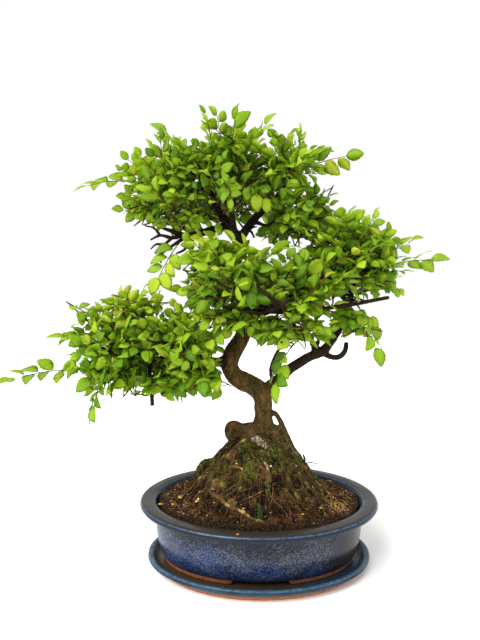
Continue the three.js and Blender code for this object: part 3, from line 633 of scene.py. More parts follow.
def glazed_stoneware(name, settings, deep, edge, dark, dust_and_shade):
    """Stoneware dipped in a cobalt glaze and fired.

    Where the glaze is thick it is deep blue with pale crystals, it thins to a lighter blue over edges, and
    it is dusty where water dries on it. On the pot's right side the dust colour, fewer pale specks and less
    blue are painted shade, and more specks on its left are painted light. The foot was wiped bare, so the
    clay shows dull and rough there.
    """
    material, tree, where, thin, bare, shade, frost, depth = new_material(
        name, "thin", "bare", "shade", "frost", "depth")
    clouds = add(tree, "TexNoise", {"Vector": where, "Scale": per_mm(22), "Detail": 5.0, "Roughness": 0.6})
    pooled = add(tree, "Math", {0: clouds, 1: 0.5}, operation="SUBTRACT")
    pooled = add(tree, "Math", {0: pooled, 1: 2.2, 2: depth}, operation="MULTIPLY_ADD")
    run = add(tree, "ValToRGB", {"Fac": pooled},
        stops=[(0.12, dark), (0.38, [0.5 * (a + b) for a, b in zip(deep, dark)]), (0.66, deep)])
    crystals = add(tree, "TexNoise", {"Vector": where, "Scale": per_mm(1.5), "Detail": 3.0, "Roughness": 0.7})
    patches = add(tree, "TexNoise", {"Vector": where, "Scale": per_mm(19), "Detail": 4.0})
    few = add(tree, "Math", {0: patches, 1: 1.1, 2: frost}, operation="MULTIPLY_ADD")
    few = add(tree, "MapRange",
        {"Value": few, "From Min": 0.6, "From Max": 1.5, "To Min": 0.66, "To Max": 0.46})
    speck = add(tree, "Math", {0: crystals, 1: few}, operation="SUBTRACT")
    speck = add(tree, "MapRange", {"Value": speck, "From Min": 0.0, "From Max": 0.16, "To Max": 0.36})
    frosted = add(tree, "Mix", {0: speck, MIX_A: run, MIX_B: rgba(settings.frost)}, data_type="RGBA")
    # Dust on the pot's rim and the saucer's floor, and painted shade on the pot's right side
    darker = add(tree, "Mix", {0: shade, MIX_A: frosted, MIX_B: rgba(dust_and_shade)}, data_type="RGBA")
    breaks = add(tree, "TexNoise", {"Vector": where, "Scale": per_mm(4), "Detail": 4.0})
    edge_share = add(tree, "Math", {0: thin, 1: breaks}, operation="MULTIPLY")
    edge_share = add(tree, "MapRange", {"Value": edge_share, "From Min": 0.2, "From Max": 0.55})
    edged = add(tree, "Mix", {0: edge_share, MIX_A: darker, MIX_B: rgba(edge)}, data_type="RGBA")
    grog = add(tree, "TexNoise", {"Vector": where, "Scale": per_mm(3), "Detail": 6.0, "Roughness": 0.7})
    clay = add(tree, "ValToRGB", {"Fac": grog},
        stops=[(0.35, [0.45 * c for c in settings.clay]), (0.52, settings.clay),
            (0.75, [1.35 * c for c in settings.clay])])
    line = add(tree, "TexNoise", {"Vector": where, "Scale": per_mm(9), "Detail": 3.0})
    ragged = add(tree, "Math", {0: line, 1: 0.5}, operation="SUBTRACT")
    ragged = add(tree, "Math", {0: ragged, 1: 0.9, 2: bare}, operation="MULTIPLY_ADD")
    unglazed = add(tree, "MapRange", {"Value": ragged, "From Min": 0.46, "From Max": 0.54})
    colour = add(tree, "Mix", {0: unglazed, MIX_A: edged, MIX_B: clay}, data_type="RGBA")
    gloss = add(tree, "MapRange",
        {"Value": patches, "From Min": 0.35, "From Max": 0.7, "To Min": 0.2, "To Max": 0.42})
    rough = add(tree, "Mix", {0: unglazed, 2: gloss, 3: 0.85}, out=0)
    peel = add(tree, "TexNoise", {"Vector": where, "Scale": per_mm(2.6), "Detail": 3.0})
    peel = add(tree, "Bump", {"Height": peel, "Strength": 0.12, "Distance": 0.4 * MM})
    grit = add(tree, "Math", {0: grog, 1: unglazed}, operation="MULTIPLY")
    grit = add(tree, "Bump", {"Height": grit, "Normal": peel, "Strength": 0.6, "Distance": 0.5 * MM})
    shader = add(tree, "BsdfPrincipled",
        {"Base Color": colour, "Roughness": rough, "Normal": grit, "IOR": 1.45, "Specular IOR Level": 0.24})
    add(tree, "OutputMaterial", {"Surface": shader})
    return material


def woven_plastic():
    """Black polyethylene drain mesh, moulded. It is dull, with a faint flow pattern."""
    material, tree, where = new_material("polyethylene_moulded_mesh")
    flow = add(tree, "TexNoise", {"Vector": where, "Scale": per_mm(2), "Detail": 2.0})
    colour = add(tree, "ValToRGB", {"Fac": flow}, stops=[(0.3, "14181a"), (0.7, "242b2e")])
    shader = add(tree, "BsdfPrincipled", {"Base Color": colour, "Roughness": 0.55})
    add(tree, "OutputMaterial", {"Surface": shader})
    return material


def potting_earth(settings):
    """Damp potting earth, poured and settled: dark and dull, drier and paler on its crumbs, green with moss.

    The grain is drawn at twice its real size, so that it doesn't blur away. The crumb value darkens the
    hollows, as painted shade, and makes the raised crumbs paler, partly as painted light.
    """
    material, tree, where, height, moss = new_material("potting_earth_settled", "crumb", "moss")
    grain = add(tree, "TexNoise", {"Vector": where, "Scale": per_mm(2.4), "Detail": 5.0, "Roughness": 0.75})
    # Painted shade in the hollows and painted light on the raised crumbs, from the crumb height, beside the
    # real grain
    both = add(tree, "Math", {0: grain, 1: height}, operation="ADD")
    earth = add(tree, "ValToRGB", {"Fac": both},
        stops=[(0.42, settings.dark), (0.53, [0.4 * (a + b) for a, b in zip(settings.dark, settings.dry)]),
            (0.64, settings.dry), (0.86, "9a7448")])
    tufts = add(tree, "TexNoise", {"Vector": where, "Scale": per_mm(3.2), "Detail": 4.0, "Roughness": 0.65})
    # The moss, too, is darker in the hollows: painted shade
    deep = add(tree, "Math", {0: height, 1: 0.7, 2: tufts}, operation="MULTIPLY_ADD")
    green = add(tree, "ValToRGB", {"Fac": deep},
        stops=[(0.42, "0b0b04"), (0.53, [0.4 * c for c in settings.moss]), (0.64, settings.moss),
            (0.8, [1.7 * c for c in settings.moss])])
    colour = add(tree, "Mix", {0: moss, MIX_A: earth, MIX_B: green}, data_type="RGBA")
    bump = add(tree, "Bump", {"Height": grain, "Strength": 1.0, "Distance": 1.2 * MM})
    shader = add(tree, "BsdfPrincipled",
        {"Base Color": colour, "Roughness": 0.93, "Normal": bump, "Specular IOR Level": 0.1})
    add(tree, "OutputMaterial", {"Surface": shader})
    return material


def varied(name, stops, rough, grain_mm, relief_mm, specular=0.12):
    """A dull natural stuff, grown or dug. Each piece has its own shade, from a value that its points hold."""
    material, tree, where, tone = new_material(name, "tone")
    grain = add(tree, "TexNoise", {"Vector": where, "Scale": per_mm(grain_mm), "Detail": 3.0})
    stray = add(tree, "Math", {0: grain, 1: 0.24, 2: tone}, operation="MULTIPLY_ADD")
    stray = add(tree, "Math", {0: stray, 1: 0.12}, operation="SUBTRACT")
    colour = add(tree, "ValToRGB", {"Fac": stray}, stops=stops)
    bump = add(tree, "Bump", {"Height": grain, "Strength": 0.5, "Distance": relief_mm * MM})
    shader = add(tree, "BsdfPrincipled",
        {"Base Color": colour, "Roughness": rough, "Normal": bump, "Specular IOR Level": specular})
    add(tree, "OutputMaterial", {"Surface": shader})
    return material


def living_bark(settings):
    """Zelkova bark, grown: olive-brown and dull, ochre where plates have flaked off.

    It is darker on limbs and in cracks, where the darkening is partly dark bark and partly painted shade in
    the grooves. Roots are tanner, with moss where they lie low, and one is bleached where it has died back.
    """
    material, tree, where, girth, crack, root, moss, bleached = new_material(
        "zelkova_bark_grown", "girth", "crack", "root", "moss", "bleached")
    upright = add(tree, "Mapping", {"Vector": where, "Scale": (1.0, 1.0, 0.5)})
    fine = add(tree, "TexNoise", {"Vector": upright, "Scale": per_mm(2), "Detail": 5.0, "Roughness": 0.72})
    broad = add(tree, "TexNoise",
        {"Vector": upright, "Scale": per_mm(8), "Detail": 5.0, "Roughness": 0.7, "Distortion": 0.5})
    trunk = add(tree, "ValToRGB", {"Fac": broad},
        stops=[(0.3, "2c250f"), (0.46, settings.bark), (0.6, settings.ochre), (0.72, "544a26")])
    limb = add(tree, "ValToRGB", {"Fac": broad}, stops=[(0.35, settings.dark_limb), (0.65, "36281b")])
    wood = add(tree, "Mix", {0: girth, MIX_A: limb, MIX_B: trunk}, data_type="RGBA")
    rooty = add(tree, "ValToRGB", {"Fac": broad},
        stops=[(0.36, "1f160b"), (0.5, "3f2e16"), (0.64, "745830")])
    wood = add(tree, "Mix", {0: root, MIX_A: wood, MIX_B: rooty}, data_type="RGBA")
    grain = add(tree, "MapRange",
        {"Value": fine, "From Min": 0.36, "From Max": 0.64, "To Min": 0.42, "To Max": 1.4})
    wood = add(tree, "Mix", {0: 1.0, MIX_A: wood, MIX_B: grain}, data_type="RGBA", blend_type="MULTIPLY")
    pale = add(tree, "ValToRGB", {"Fac": fine}, stops=[(0.42, "2a2118"), (0.5, "7d6c55"), (0.62, "c4b79f")])
    flaked = add(tree, "Math", {0: broad, 1: 2.6, 2: bleached}, operation="MULTIPLY_ADD")
    flaked = add(tree, "MapRange", {"Value": flaked, "From Min": 1.75, "From Max": 2.0})
    wood = add(tree, "Mix", {0: flaked, MIX_A: wood, MIX_B: pale}, data_type="RGBA")
    green = add(tree, "ValToRGB", {"Fac": fine}, stops=[(0.4, "101206"), (0.5, "2e340e"), (0.62, "626a1e")])
    wood = add(tree, "Mix", {0: moss, MIX_A: wood, MIX_B: green}, data_type="RGBA")
    # Cracks: dark bark, and painted shade in the grooves
    wood = add(tree, "Mix", {0: crack, MIX_A: wood, MIX_B: rgba("120c07")}, data_type="RGBA")
    bump = add(tree, "Bump", {"Height": fine, "Strength": 0.9, "Distance": 0.9 * MM})
    shader = add(tree, "BsdfPrincipled",
        {"Base Color": wood, "Roughness": 0.8, "Normal": bump, "Specular IOR Level": 0.1})
    add(tree, "OutputMaterial", {"Surface": shader})
    return material


def leaf_blade(settings):
    """A living zelkova leaf: satin above with sunk veins, paler below, and light comes through it."""
    material, tree, where, tone, along, across, under = new_material(
        "zelkova_leaf_living", "tone", "along", "across", "under")
    mottle = add(tree, "TexNoise", {"Vector": where, "Scale": per_mm(7), "Detail": 3.0})
    stray = add(tree, "Math", {0: mottle, 1: 0.3, 2: tone}, operation="MULTIPLY_ADD")
    stray = add(tree, "Math", {0: stray, 1: 0.15}, operation="SUBTRACT")
    blade = add(tree, "ValToRGB", {"Fac": stray},
        stops=[(0.0, settings.shade), (0.5, settings.green), (0.85, settings.fresh), (1.0, "dccf3a")])
    side = add(tree, "Math", {0: across}, operation="ABSOLUTE")
    slant = add(tree, "Math", {0: side, 1: -0.75, 2: along}, operation="MULTIPLY_ADD")
    turns = add(tree, "Math", {0: slant, 1: 9.0}, operation="MULTIPLY")
    wave = add(tree, "Math", {0: turns, 1: 1.0}, operation="PINGPONG")
    side_vein = add(tree, "MapRange", {"Value": wave, "From Min": 0.2, "From Max": 0.0})
    midrib = add(tree, "MapRange", {"Value": side, "From Min": 0.028, "From Max": 0.008})
    vein = add(tree, "Math", {0: side_vein, 1: 0.4}, operation="MULTIPLY")
    vein = add(tree, "Math", {0: vein, 1: midrib}, operation="MAXIMUM")
    veined = add(tree, "Math", {0: vein, 1: 0.3}, operation="MULTIPLY")
    top = add(tree, "Mix", {0: veined, MIX_A: blade, MIX_B: rgba("b7d262")}, data_type="RGBA")
    below = add(tree, "Math", {0: under, 1: 0.4}, operation="MULTIPLY")
    colour = add(tree, "Mix", {0: below, MIX_A: top, MIX_B: rgba("a6c43e")}, data_type="RGBA")
    bump = add(tree, "Bump", {"Height": vein, "Strength": 0.6, "Distance": 0.35 * MM}, invert=True)
    shader = add(tree, "BsdfPrincipled",
        {"Base Color": colour, "Roughness": 0.45, "Normal": bump, "Specular IOR Level": 0.22})
    through = add(tree, "Mix", {0: 0.35, MIX_A: colour, MIX_B: rgba("c4dd3c")}, data_type="RGBA")
    glow = add(tree, "BsdfTranslucent", {"Color": through})
    both = add(tree, "MixShader", {0: 0.48, 1: shader, 2: glow})
    add(tree, "OutputMaterial", {"Surface": both})
    return material


def studio_paper(colour):
    """The floor: seamless studio paper, rolled, with the faintest tooth."""
    material, tree, where = new_material("studio_paper_rolled")
    tooth = add(tree, "TexNoise", {"Vector": where, "Scale": per_mm(1.5), "Detail": 2.0})
    bump = add(tree, "Bump", {"Height": tooth, "Strength": 0.05, "Distance": 0.2 * MM})
    shader = add(tree, "BsdfPrincipled",
        {"Base Color": rgba(colour), "Roughness": 0.9, "Specular IOR Level": 0.1, "Normal": bump})
    add(tree, "OutputMaterial", {"Surface": shader})
    return material


# Earth


def mound_height(x, y):
    """Height of the earth, as in the solids."""
    r = np.hypot((x - MOUND["x"]) * MOUND["squeeze"], y - MOUND["y"])
    radii, heights = zip(*MOUND_PROFILE)
    swell = 1.6 * np.sin(x / 9 + 1.3) * np.sin(y / 8 + 0.4) + 0.8 * np.sin(x / 4.3 + y / 5.1)
    return np.interp(r, radii, heights) + swell


def on_mound(x, y):
    """Points of the even mound over x and y, and how far they are from its middle."""
    places = np.stack([x, y, mound_height(x, y)], -1)
    return places, np.hypot((x - MOUND["x"]) * MOUND["squeeze"], y - MOUND["y"])


def moss_share(x, y):
    """How mossy the earth is: green on the mound, most on its right, with bare patches."""
    places, r = on_mound(x, y)
    patches = 0.5 + 0.5 * lumps(places, 15, 3) + 0.4 * lumps(places, 6, 4)
    lean = 0.12 * (x - MOUND["x"]) / 60
    return smoothstep((1.05 - r / 74) * 1.8) * smoothstep((patches + lean - 0.24) * 2.6)


def earth_top(x, y):
    """Height of the crumbly surface, and how far its crumbs stand out."""
    places, r = on_mound(x, y)
    steep = smoothstep((84 - r) / 24)
    clods = 0.9 * lumps(places, 5.2, 11) + 0.9 * lumps(places, 2.9, 12) + 0.7 * np.abs(lumps(places, 1.7, 13))
    hollows = steep * (2.2 * lumps(places, 10, 15) + 1.5 * lumps(places, 5.5, 16) - 0.8)
    tufts = moss_share(x, y) * (0.7 + 0.9 * np.abs(lumps(places, 3.6, 14)))
    edge = smoothstep((1 - np.hypot(x / SOIL_TOP["x"], y / SOIL_TOP["y"])) * 14)
    crumb = (clods + tufts + hollows) * edge
    return mound_height(x, y) + crumb, crumb


class Ground:
    def __init__(self, step):
        self.step = step
        self.reach = {axis: int(SOIL_TOP[axis] / step) + 3 for axis in "xy"}
        across, away = (np.arange(-n, n + 1) * step for n in self.reach.values())
        x, y = (grid.ravel() for grid in np.meshgrid(across, away, indexing="ij"))
        shape = (len(across), len(away))
        self.tops = earth_top(x, y)[0].reshape(shape)
        self.mosses = moss_share(x, y).reshape(shape)

    def cell(self, x, y):
        return round(x / self.step) + self.reach["x"], round(y / self.step) + self.reach["y"]

    def top(self, x, y):
        return float(self.tops[self.cell(x, y)])

    def moss(self, x, y):
        return float(self.mosses[self.cell(x, y)])


# Foliage


class Shoot:
    """A stem with its leaves. A leaf is where it starts, its ways along, aside and up, and its length."""

    def __init__(self, stem, cloud, node=None):
        self.stem, self.cloud, self.node, self.leaves = stem, cloud, node, []


def dice(number):
    """The same draws, from 0 to 1, as the solids make for the shoot of this number."""
    state = SEED + SEED_STEP * number
    skip = 2
    while True:
        state = (state * 16807) % 2147483647
        if skip:
            skip -= 1
            continue
        yield state / 2147483647


def turned(vector, axis, angle):
    """A vector turned about an axis."""
    cos, sin = math.cos(angle), math.sin(angle)
    return vector * cos + axis.cross(vector) * sin + axis * axis.dot(vector) * (1 - cos)


def on_ball(h, angle):
    """A place on a ball of radius 1, at height h."""
    flat = math.sqrt(max(0, 1 - h * h))
    return flat * math.cos(angle), flat * math.sin(angle), h


def shaken(chance, amount):
    """Three draws that stray from 0 by about an amount."""
    return Vector([chance.gauss(0, amount) for _ in range(3)])


def way_off(place, cloud):
    """How far a place is from a cloud's middle, as shares of its half sizes."""
    return [(p - m) / half for p, m, half in zip(place, cloud["at"], cloud["size"])]


def cloud_shoot(at, size, shoots, index, turn):
    """The two ends of a shoot on a cloud, and the way out of the cloud there."""
    lowest, reach = -0.55, 0.6 if index % 3 == 1 else 1
    h = 1 - (index + 0.5) / shoots * (1 - lowest)
    out = Vector(on_ball(h, index * GOLDEN + turn))
    tip = Vector(at) + Vector([o * s for o, s in zip(out, size)]) * reach
    heading = (out + Vector((0, 0, 0.15))).normalized()
    return tip - heading * SHOOT["length"], tip, out


def frame_along(base, tip, out, roll):
    """To the side and up from the face of a shoot."""
    along = (tip - base).normalized()
    side = along.cross(Vector((0, 0, 0.6)) + out * 0.6).normalized()
    side = turned(side, along, roll)
    return side, side.cross(along).normalized()


def stem_points(base, tip, face, bow=SHOOT["bow"]):
    """Four places on the bow of a stem."""
    middle = base.lerp(tip, 0.5) + face * (bow * (tip - base).length)
    return [base * (1 - t) ** 2 + middle * 2 * t * (1 - t) + tip * t * t for t in (0, 0.34, 0.67, 1)]


def rise(u, v, arch=LEAF["arch"], droop=LEAF["droop"], fold=LEAF["fold"]):
    """How far a blade stands up at u along its rib and v across, all as shares of its length."""
    return 4 * arch * u * (1 - u) - droop * u * u + fold * abs(v)


def tip_of(leaf):
    """The point of a blade."""
    at, along, _, face, length = leaf
    return at + (along + face * rise(1, 0)) * length


def leaf_places(stem, side, face, draw, count, length, last=SHOOT["last"]):
    """For each leaf of a stem, a function of its roll that gives the leaf."""
    made = []
    for index in range(count):
        size_draw, tilt_draw, lift_draw, roll_draw = next(draw), next(draw), next(draw), next(draw)
        t = (index + 1) / count * last
        hand = 0 if index == count - 1 else 1 - 2 * (index % 2)
        tilt = hand * math.radians(SHOOT["tilt"] + 12 * (tilt_draw - 0.5))
        at, tangent = catmull(stem, t)
        along = tangent * math.cos(tilt) + side * math.sin(tilt) + face * (0.4 * (lift_draw - 0.5))
        along.normalize()
        long = length * (0.86 + 0.28 * size_draw)

        def rolled(roll, at=at, along=along, long=long, stray=roll_draw - 0.5):
            across = turned(along.cross(face).normalized(), along, roll + stray)
            return [at, along, across, across.cross(along), long]

        made.append(rolled)
    return made


def nearest(tree, place):
    """How far a place is from the nearest point of a tree."""
    return tree.find(place)[2]


def solid_shoots():
    """The shoots of the solids, each found again by its own rule and by where its node's corners are."""
    jobs = []
    for order, (name, (cloud, start, end)) in enumerate(STRAYS.items()):
        base, tip = Vector(start), Vector(end)
        jobs.append((f"shoot_{name}", order, cloud, [(base, tip, (tip - base).normalized())]))
    for order, (name, cloud) in enumerate(CLOUDS.items()):
        for i in range(cloud["shoots"]):
            ends = [cloud_shoot(**cloud, index=i, turn=0.9 * order + turn) for turn in SHOOT_TURNS]
            jobs.append((f"shoot_{name}_{i + 1}", NUMBERS_PER_CLOUD * (order + 1) + i, name, ends))
    found = []
    for node, number, cloud, ends in jobs:
        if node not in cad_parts:
            continue
        corners = points_of(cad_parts[node].data)
        tree = kdtree.KDTree(len(corners))
        for i, corner in enumerate(corners):
            tree.insert(corner, i)
        tree.balance()
        base, tip, out = min(ends, key=lambda e: abs(nearest(tree, e[0]) - SHOOT["base"]))
        draw = dice(number)
        side, face = frame_along(base, tip, out, SHOOT["roll"] * (next(draw) - 0.5))
        stem = stem_points(base, tip, face)
        shoot = Shoot(stem, cloud, node)
        for rolled in leaf_places(stem, side, face, draw, SHOOT["leaves"], LEAF["length"]):
            tries = [rolled(roll) for roll in LEAF_ROLLS]
            best = min(tries, key=lambda leaf: nearest(tree, tip_of(leaf)))
            if nearest(tree, tip_of(best)) < SAME_PLACE:
                shoot.leaves.append(best)
        found.append(shoot)
    return found


def balls_along(route):
    """Places along a route, each with its radius."""
    made = []
    for a, b in zip(route, route[1:]):
        count = math.ceil(math.dist(a[:3], b[:3]) / BALL_STEP)
        made += [tuple(p + (q - p) * k / count for p, q in zip(a, b)) for k in range(count + 1)]
    return made


def solid_twigs(shoots):
    """The twigs that carry the shoots of the solids, and all places where more twigs can leave the wood."""
    perches = [ball for name, route in LIMBS.items() if name != "trunk" for ball in balls_along(route)]
    perches += balls_along(LIMBS["trunk"][PERCH_FROM:])
    twigs = []
    for shoot in shoots:
        base = shoot.stem[0]
        heading = (shoot.stem[1] - base).normalized()
        foot = base - heading * TWIG["gap"]
        neck = foot - heading * TWIG["neck"]
        spots = np.array(perches)
        far = np.linalg.norm(spots[:, :3] - np.array(neck), axis=1) + 2 * spots[:, 3]
        start = perches[int(far.argmin())]
        twig = [(*start[:3], TWIG["base"]), (*neck, TWIG["tip"]), (*foot, TWIG["tip"])]
        twigs.append(twig)
        perches += balls_along(twig)[3:-3]
    return twigs, perches


class Room:
    """Which small cubes of space a leaf or limb has taken."""

    def __init__(self, cube):
        self.cube, self.taken = cube, {}

    def cells(self, places):
        return set(map(tuple, np.floor(np.asarray(places) / self.cube).astype(int).tolist()))

    def free(self, places, owner):
        return all(self.taken.get(cell, owner) == owner for cell in self.cells(places))

    def take(self, places, owner):
        for cell in self.cells(places):
            self.taken.setdefault(cell, owner)


HALF_THICK = 0.14  # of a blade
ROOM_CUBE = 2.3
BOUGH = {"count": 16, "from_radius": 1.7, "out": 0.72, "shortest": 12, "step": 11}
BARE_WITHIN = 0.85  # bare twigs start this far out in a cloud, or nearer its middle
# Fine leaves stay out of here, so that the trunk's bend shows
OPEN_VIEW = ((-39, -200, 190), (-4, -9, 250))
LEAF_SPOTS = np.array([
    (0.3, -0.2), (0.3, 0), (0.3, 0.2), (0.5, -0.24), (0.5, 0), (0.5, 0.24),
    (0.7, -0.18), (0.7, 0), (0.7, 0.18), (0.95, 0),
])


def on_blade(leaf, u, v, up):
    """Places on a blade, from how far each is along its rib, across and up."""
    at, along, side, face, length = leaf
    return np.array(at) + length * (np.outer(u, along) + np.outer(v, side) + np.outer(up, face))


def leaf_spots(leaf):
    """Places all over a blade, to see whether it has room."""
    u, v = LEAF_SPOTS.T
    return on_blade(leaf, u, v, rise(u, v))


def hides(places):
    """Whether any of the places would cover the trunk's bend."""
    return ((places > OPEN_VIEW[0]) & (places < OPEN_VIEW[1])).all(axis=1).any()


def fill_pads(shoots, perches, branches):
    """Finer shoots that fill the clouds, each on a twig from the nearest wood.

    A leaf is left out where it would touch another.
    """
    chance = random.Random(SEED)
    room = Room(ROOM_CUBE)
    for name, route in {**LIMBS, **ROOTS}.items():
        for x, y, z, r in balls_along(route):
            around = [np.array((x, y, z)) + r * (np.array(way) - 1) for way in np.ndindex(3, 3, 3)]
            room.take(around, "wood")
    for route in branches:
        room.take([place[:3] for place in balls_along(route)], "wood")
    for i, shoot in enumerate(shoots):
        for k, leaf in enumerate(shoot.leaves):
            room.take(leaf_spots(leaf), ("solid", i, k))
    wanted = []
    for cloud, at, size, count, length in PADS:
        for i in range(count):
            h = 1 - (i + 0.5) / count * 1.62
            out = Vector(on_ball(h, i * GOLDEN + chance.uniform(-0.3, 0.3)))
            reach = chance.choice((1, 0.96, 0.9, 0.8, 0.64, 0.45))
            tip = Vector(at) + Vector([o * s for o, s in zip(out, size)]) * reach
            stray = Vector([chance.uniform(-0.4, 0.4) for _ in range(3)])
            heading = (out + stray + Vector((0, 0, 0.2))).normalized()
            base = tip - heading * chance.uniform(30, 48)
            base.z = max(base.z, at[2] - 0.8 * size[2])
            wanted.append((cloud, base, tip, out, length))
    spots = np.array(perches)
    wanted.sort(key=lambda w: float(np.linalg.norm(spots[:, :3] - np.array(w[1]), axis=1).min()))
    made, twigs = [], []
    for number, (cloud, base, tip, out, length) in enumerate(wanted):
        draw = iter(chance.random, None)
        across, face = frame_along(base, tip, out, SHOOT["roll"] * (chance.random() - 0.5))
        stem = stem_points(base, tip, face, chance.uniform(-0.02, 0.16))
        length *= chance.uniform(0.8, 1.15)
        count = max(4, round((tip - base).length / (0.38 * length)))
        shoot = Shoot(stem, cloud)
        for k, rolled in enumerate(leaf_places(stem, across, face, draw, count, length)):
            for roll in LEAF_ROLLS:
                at, along, side, _, long = rolled(roll)
                along = (along + shaken(chance, 0.2)).normalized()
                side = (side - along * side.dot(along)).normalized()
                long *= 0.72 + 0.4 * math.sin(math.pi * (k + 0.7) / (count + 0.4))
                leaf = [at, along, side, side.cross(along), long]
                places = leaf_spots(leaf)
                inside = (places > LOW + 1).all() and (places < HIGH - 1).all()
                if inside and not hides(places) and room.free(places, (number, k)):
                    room.take(places, (number, k))
                    shoot.leaves.append(leaf)
                    break
        if len(shoot.leaves) < 2:
            continue
        far = np.linalg.norm(spots[:, :3] - np.array(base), axis=1) + 2 * spots[:, 3]
        start = Vector(spots[int(far.argmin())][:3])
        reach = (base - start).length
        heading = (stem[1] - base).normalized()
        bend = base - heading * min(0.35 * reach, 9)
        sway = Vector([chance.uniform(-0.1, 0.1) * reach for _ in range(3)])
        places = [start, start.lerp(bend, 0.55) + sway, bend.lerp(base, 0.45) + sway * 0.5, base]
        radii = (min(1.1, 0.6 + reach / 90), 0.75, 0.62, 0.55)
        route = [(*place, radius) for place, radius in zip(places, radii)]
        if hides(np.array(balls_along(route))[:, :3]):
            continue
        twigs.append(route)
        own = [(*place, 0.5) for place in stem[:2]]
        spots = np.concatenate([spots, balls_along(route)[2:], balls_along(own)])
        made.append(shoot)
    return made, twigs


def boughs(perches, chance):
    """Side branches from the limbs to the shell of each cloud. They carry the finer shoots."""
    made = []
    thick = np.array([p for p in perches if p[3] > BOUGH["from_radius"]])
    for order, cloud in enumerate(CLOUDS.values()):
        for i in range(BOUGH["count"]):
            h = 0.75 - 1.3 * i / (BOUGH["count"] - 1)
            out = on_ball(h, i * GOLDEN + order)
            end = [c + BOUGH["out"] * o * half for c, o, half in zip(cloud["at"], out, cloud["size"])]
            end = np.array(end)
            far = np.linalg.norm(thick[:, :3] - end, axis=1)
            start = thick[int(far.argmin())]
            reach = float(far.min())
            if reach < BOUGH["shortest"]:
                continue
            steps = max(2, round(reach / BOUGH["step"]))
            route = []
            for k in range(steps + 1):
                share = k / steps
                kink = np.array([chance.gauss(0, 1.9) for _ in range(3)]) * (0 < k)
                sag = 0.12 * reach * share * (1 - share) * 4
                place = start[:3] * (1 - share) + end * share + kink - (0, 0, sag)
                route.append((*place, min(2.3, 0.62 * start[3]) * (1 - share) + 0.8 * share))
            made.append(route)
    return made


def bare_twigs(perches, count, chance):
    """Crooked dead twigs inside the clouds, each from a perch on the wood."""
    made = []
    while len(made) < count:
        x, y, z, radius = chance.choice(perches)
        if min(math.hypot(*way_off((x, y, z), cloud)) for cloud in CLOUDS.values()) > BARE_WITHIN:
            continue
        way = Vector([chance.gauss(0, 1), chance.gauss(-0.3, 1), chance.gauss(0.1, 0.6)]).normalized()
        place = Vector((x, y, z))
        thick = min(1.4, 0.35 * radius + 0.4) * chance.uniform(0.75, 1.1)
        line = [(*place, thick)]
        for k in range(chance.randint(2, 5)):
            way = (way + shaken(chance, 0.28)).normalized()
            place = place + way * chance.uniform(4, 8)
            line.append((*place, max(0.35, thick * (0.85 - 0.13 * k))))
        ends = np.array([p[:3] for p in line])
        if (ends > LOW + 3).all() and (ends < HIGH - 3).all():
            made.append(line)
    return made


def blade_form(teeth):
    """A toothed blade: its places as shares along and across, how thick it is there, and its triangles.

    The upper skin has points beside the rib, so that the blade can curl. The lower one has the rib alone.
    """
    def width(s):
        return 0.31 * math.sin(math.pi * s ** 0.84) ** 0.78 if 0 < s < 1 else 0.0

    stalk = 0.085
    edge = [(stalk, 0.014)]
    step = 0.93 / teeth
    for i in range(teeth):
        notch = 0.035 + i * step
        point = notch + 0.78 * step
        edge.append((stalk + (1 - stalk) * notch, 0.95 * width(notch) + 0.004))
        edge.append((stalk + (1 - stalk) * point, 1.03 * width(point) + 0.012))
    rim = [(0, 0.012), *edge, (1, 0), *[(u, -v) for u, v in reversed(edge)], (0, -0.012)]
    ribs = [(u, 0) for u in (0.1, 0.28, 0.46, 0.64, 0.82)]
    half = {u: 0.6 * width((u - stalk) / (1 - stalk)) for u in (0.26, 0.4, 0.55, 0.74)}
    beside = [(u, sign * v) for u, v in half.items() for sign in (1, -1)]
    border = [(i, (i + 1) % len(rim)) for i in range(len(rim))]
    spine = [(len(rim) + i, len(rim) + i + 1) for i in range(len(ribs) - 1)]
    places, faces = [], []
    for inner, side in (([(0.06, 0), *ribs[1:], *beside], 1), (ribs, -1)):
        given = [Vector(p) for p in rim + inner]
        spots, _, cells, *_ = geometry.delaunay_2d_cdt(given, border + spine, [], 1, 1e-5)
        known = {tuple(round(c, 4) for c in p): i for i, p in enumerate(rim)}
        index = []
        for spot in spots:
            key = tuple(round(c, 4) for c in spot)
            if key not in known:
                known[key] = len(rim) + len(places)
                places.append((*spot, side))
            index.append(known[key])
        for cell in cells:
            faces.append(tuple(index[i] for i in (reversed(cell) if side > 0 else cell)))
    return np.array([(*p, 0) for p in rim] + places), faces


def add_leaves(shape, leaves, form, slot, tones, chance):
    """Adds closed blades: an upper and a lower skin that meet at the rim."""
    places, faces = form
    u, v, skin = places.T
    for leaf, tone in zip(leaves, tones):
        arch = LEAF["arch"] * chance.uniform(0.3, 1.4)
        droop = LEAF["droop"] * chance.uniform(0.5, 1.6)
        fold = LEAF["fold"] * chance.uniform(0.1, 0.95)
        wave, phase = chance.uniform(0.0, 0.05), chance.uniform(0, 6)
        up = rise(u, v, arch, droop, fold) + wave * np.sin(7 * u + phase) * np.abs(v) / 0.25
        blade = on_blade(leaf, u, v, up) + np.outer(HALF_THICK * skin, leaf[3])
        shape.add(blade, faces, slot, tone=tone, along=u, across=v, under=skin < 0)


# Operators


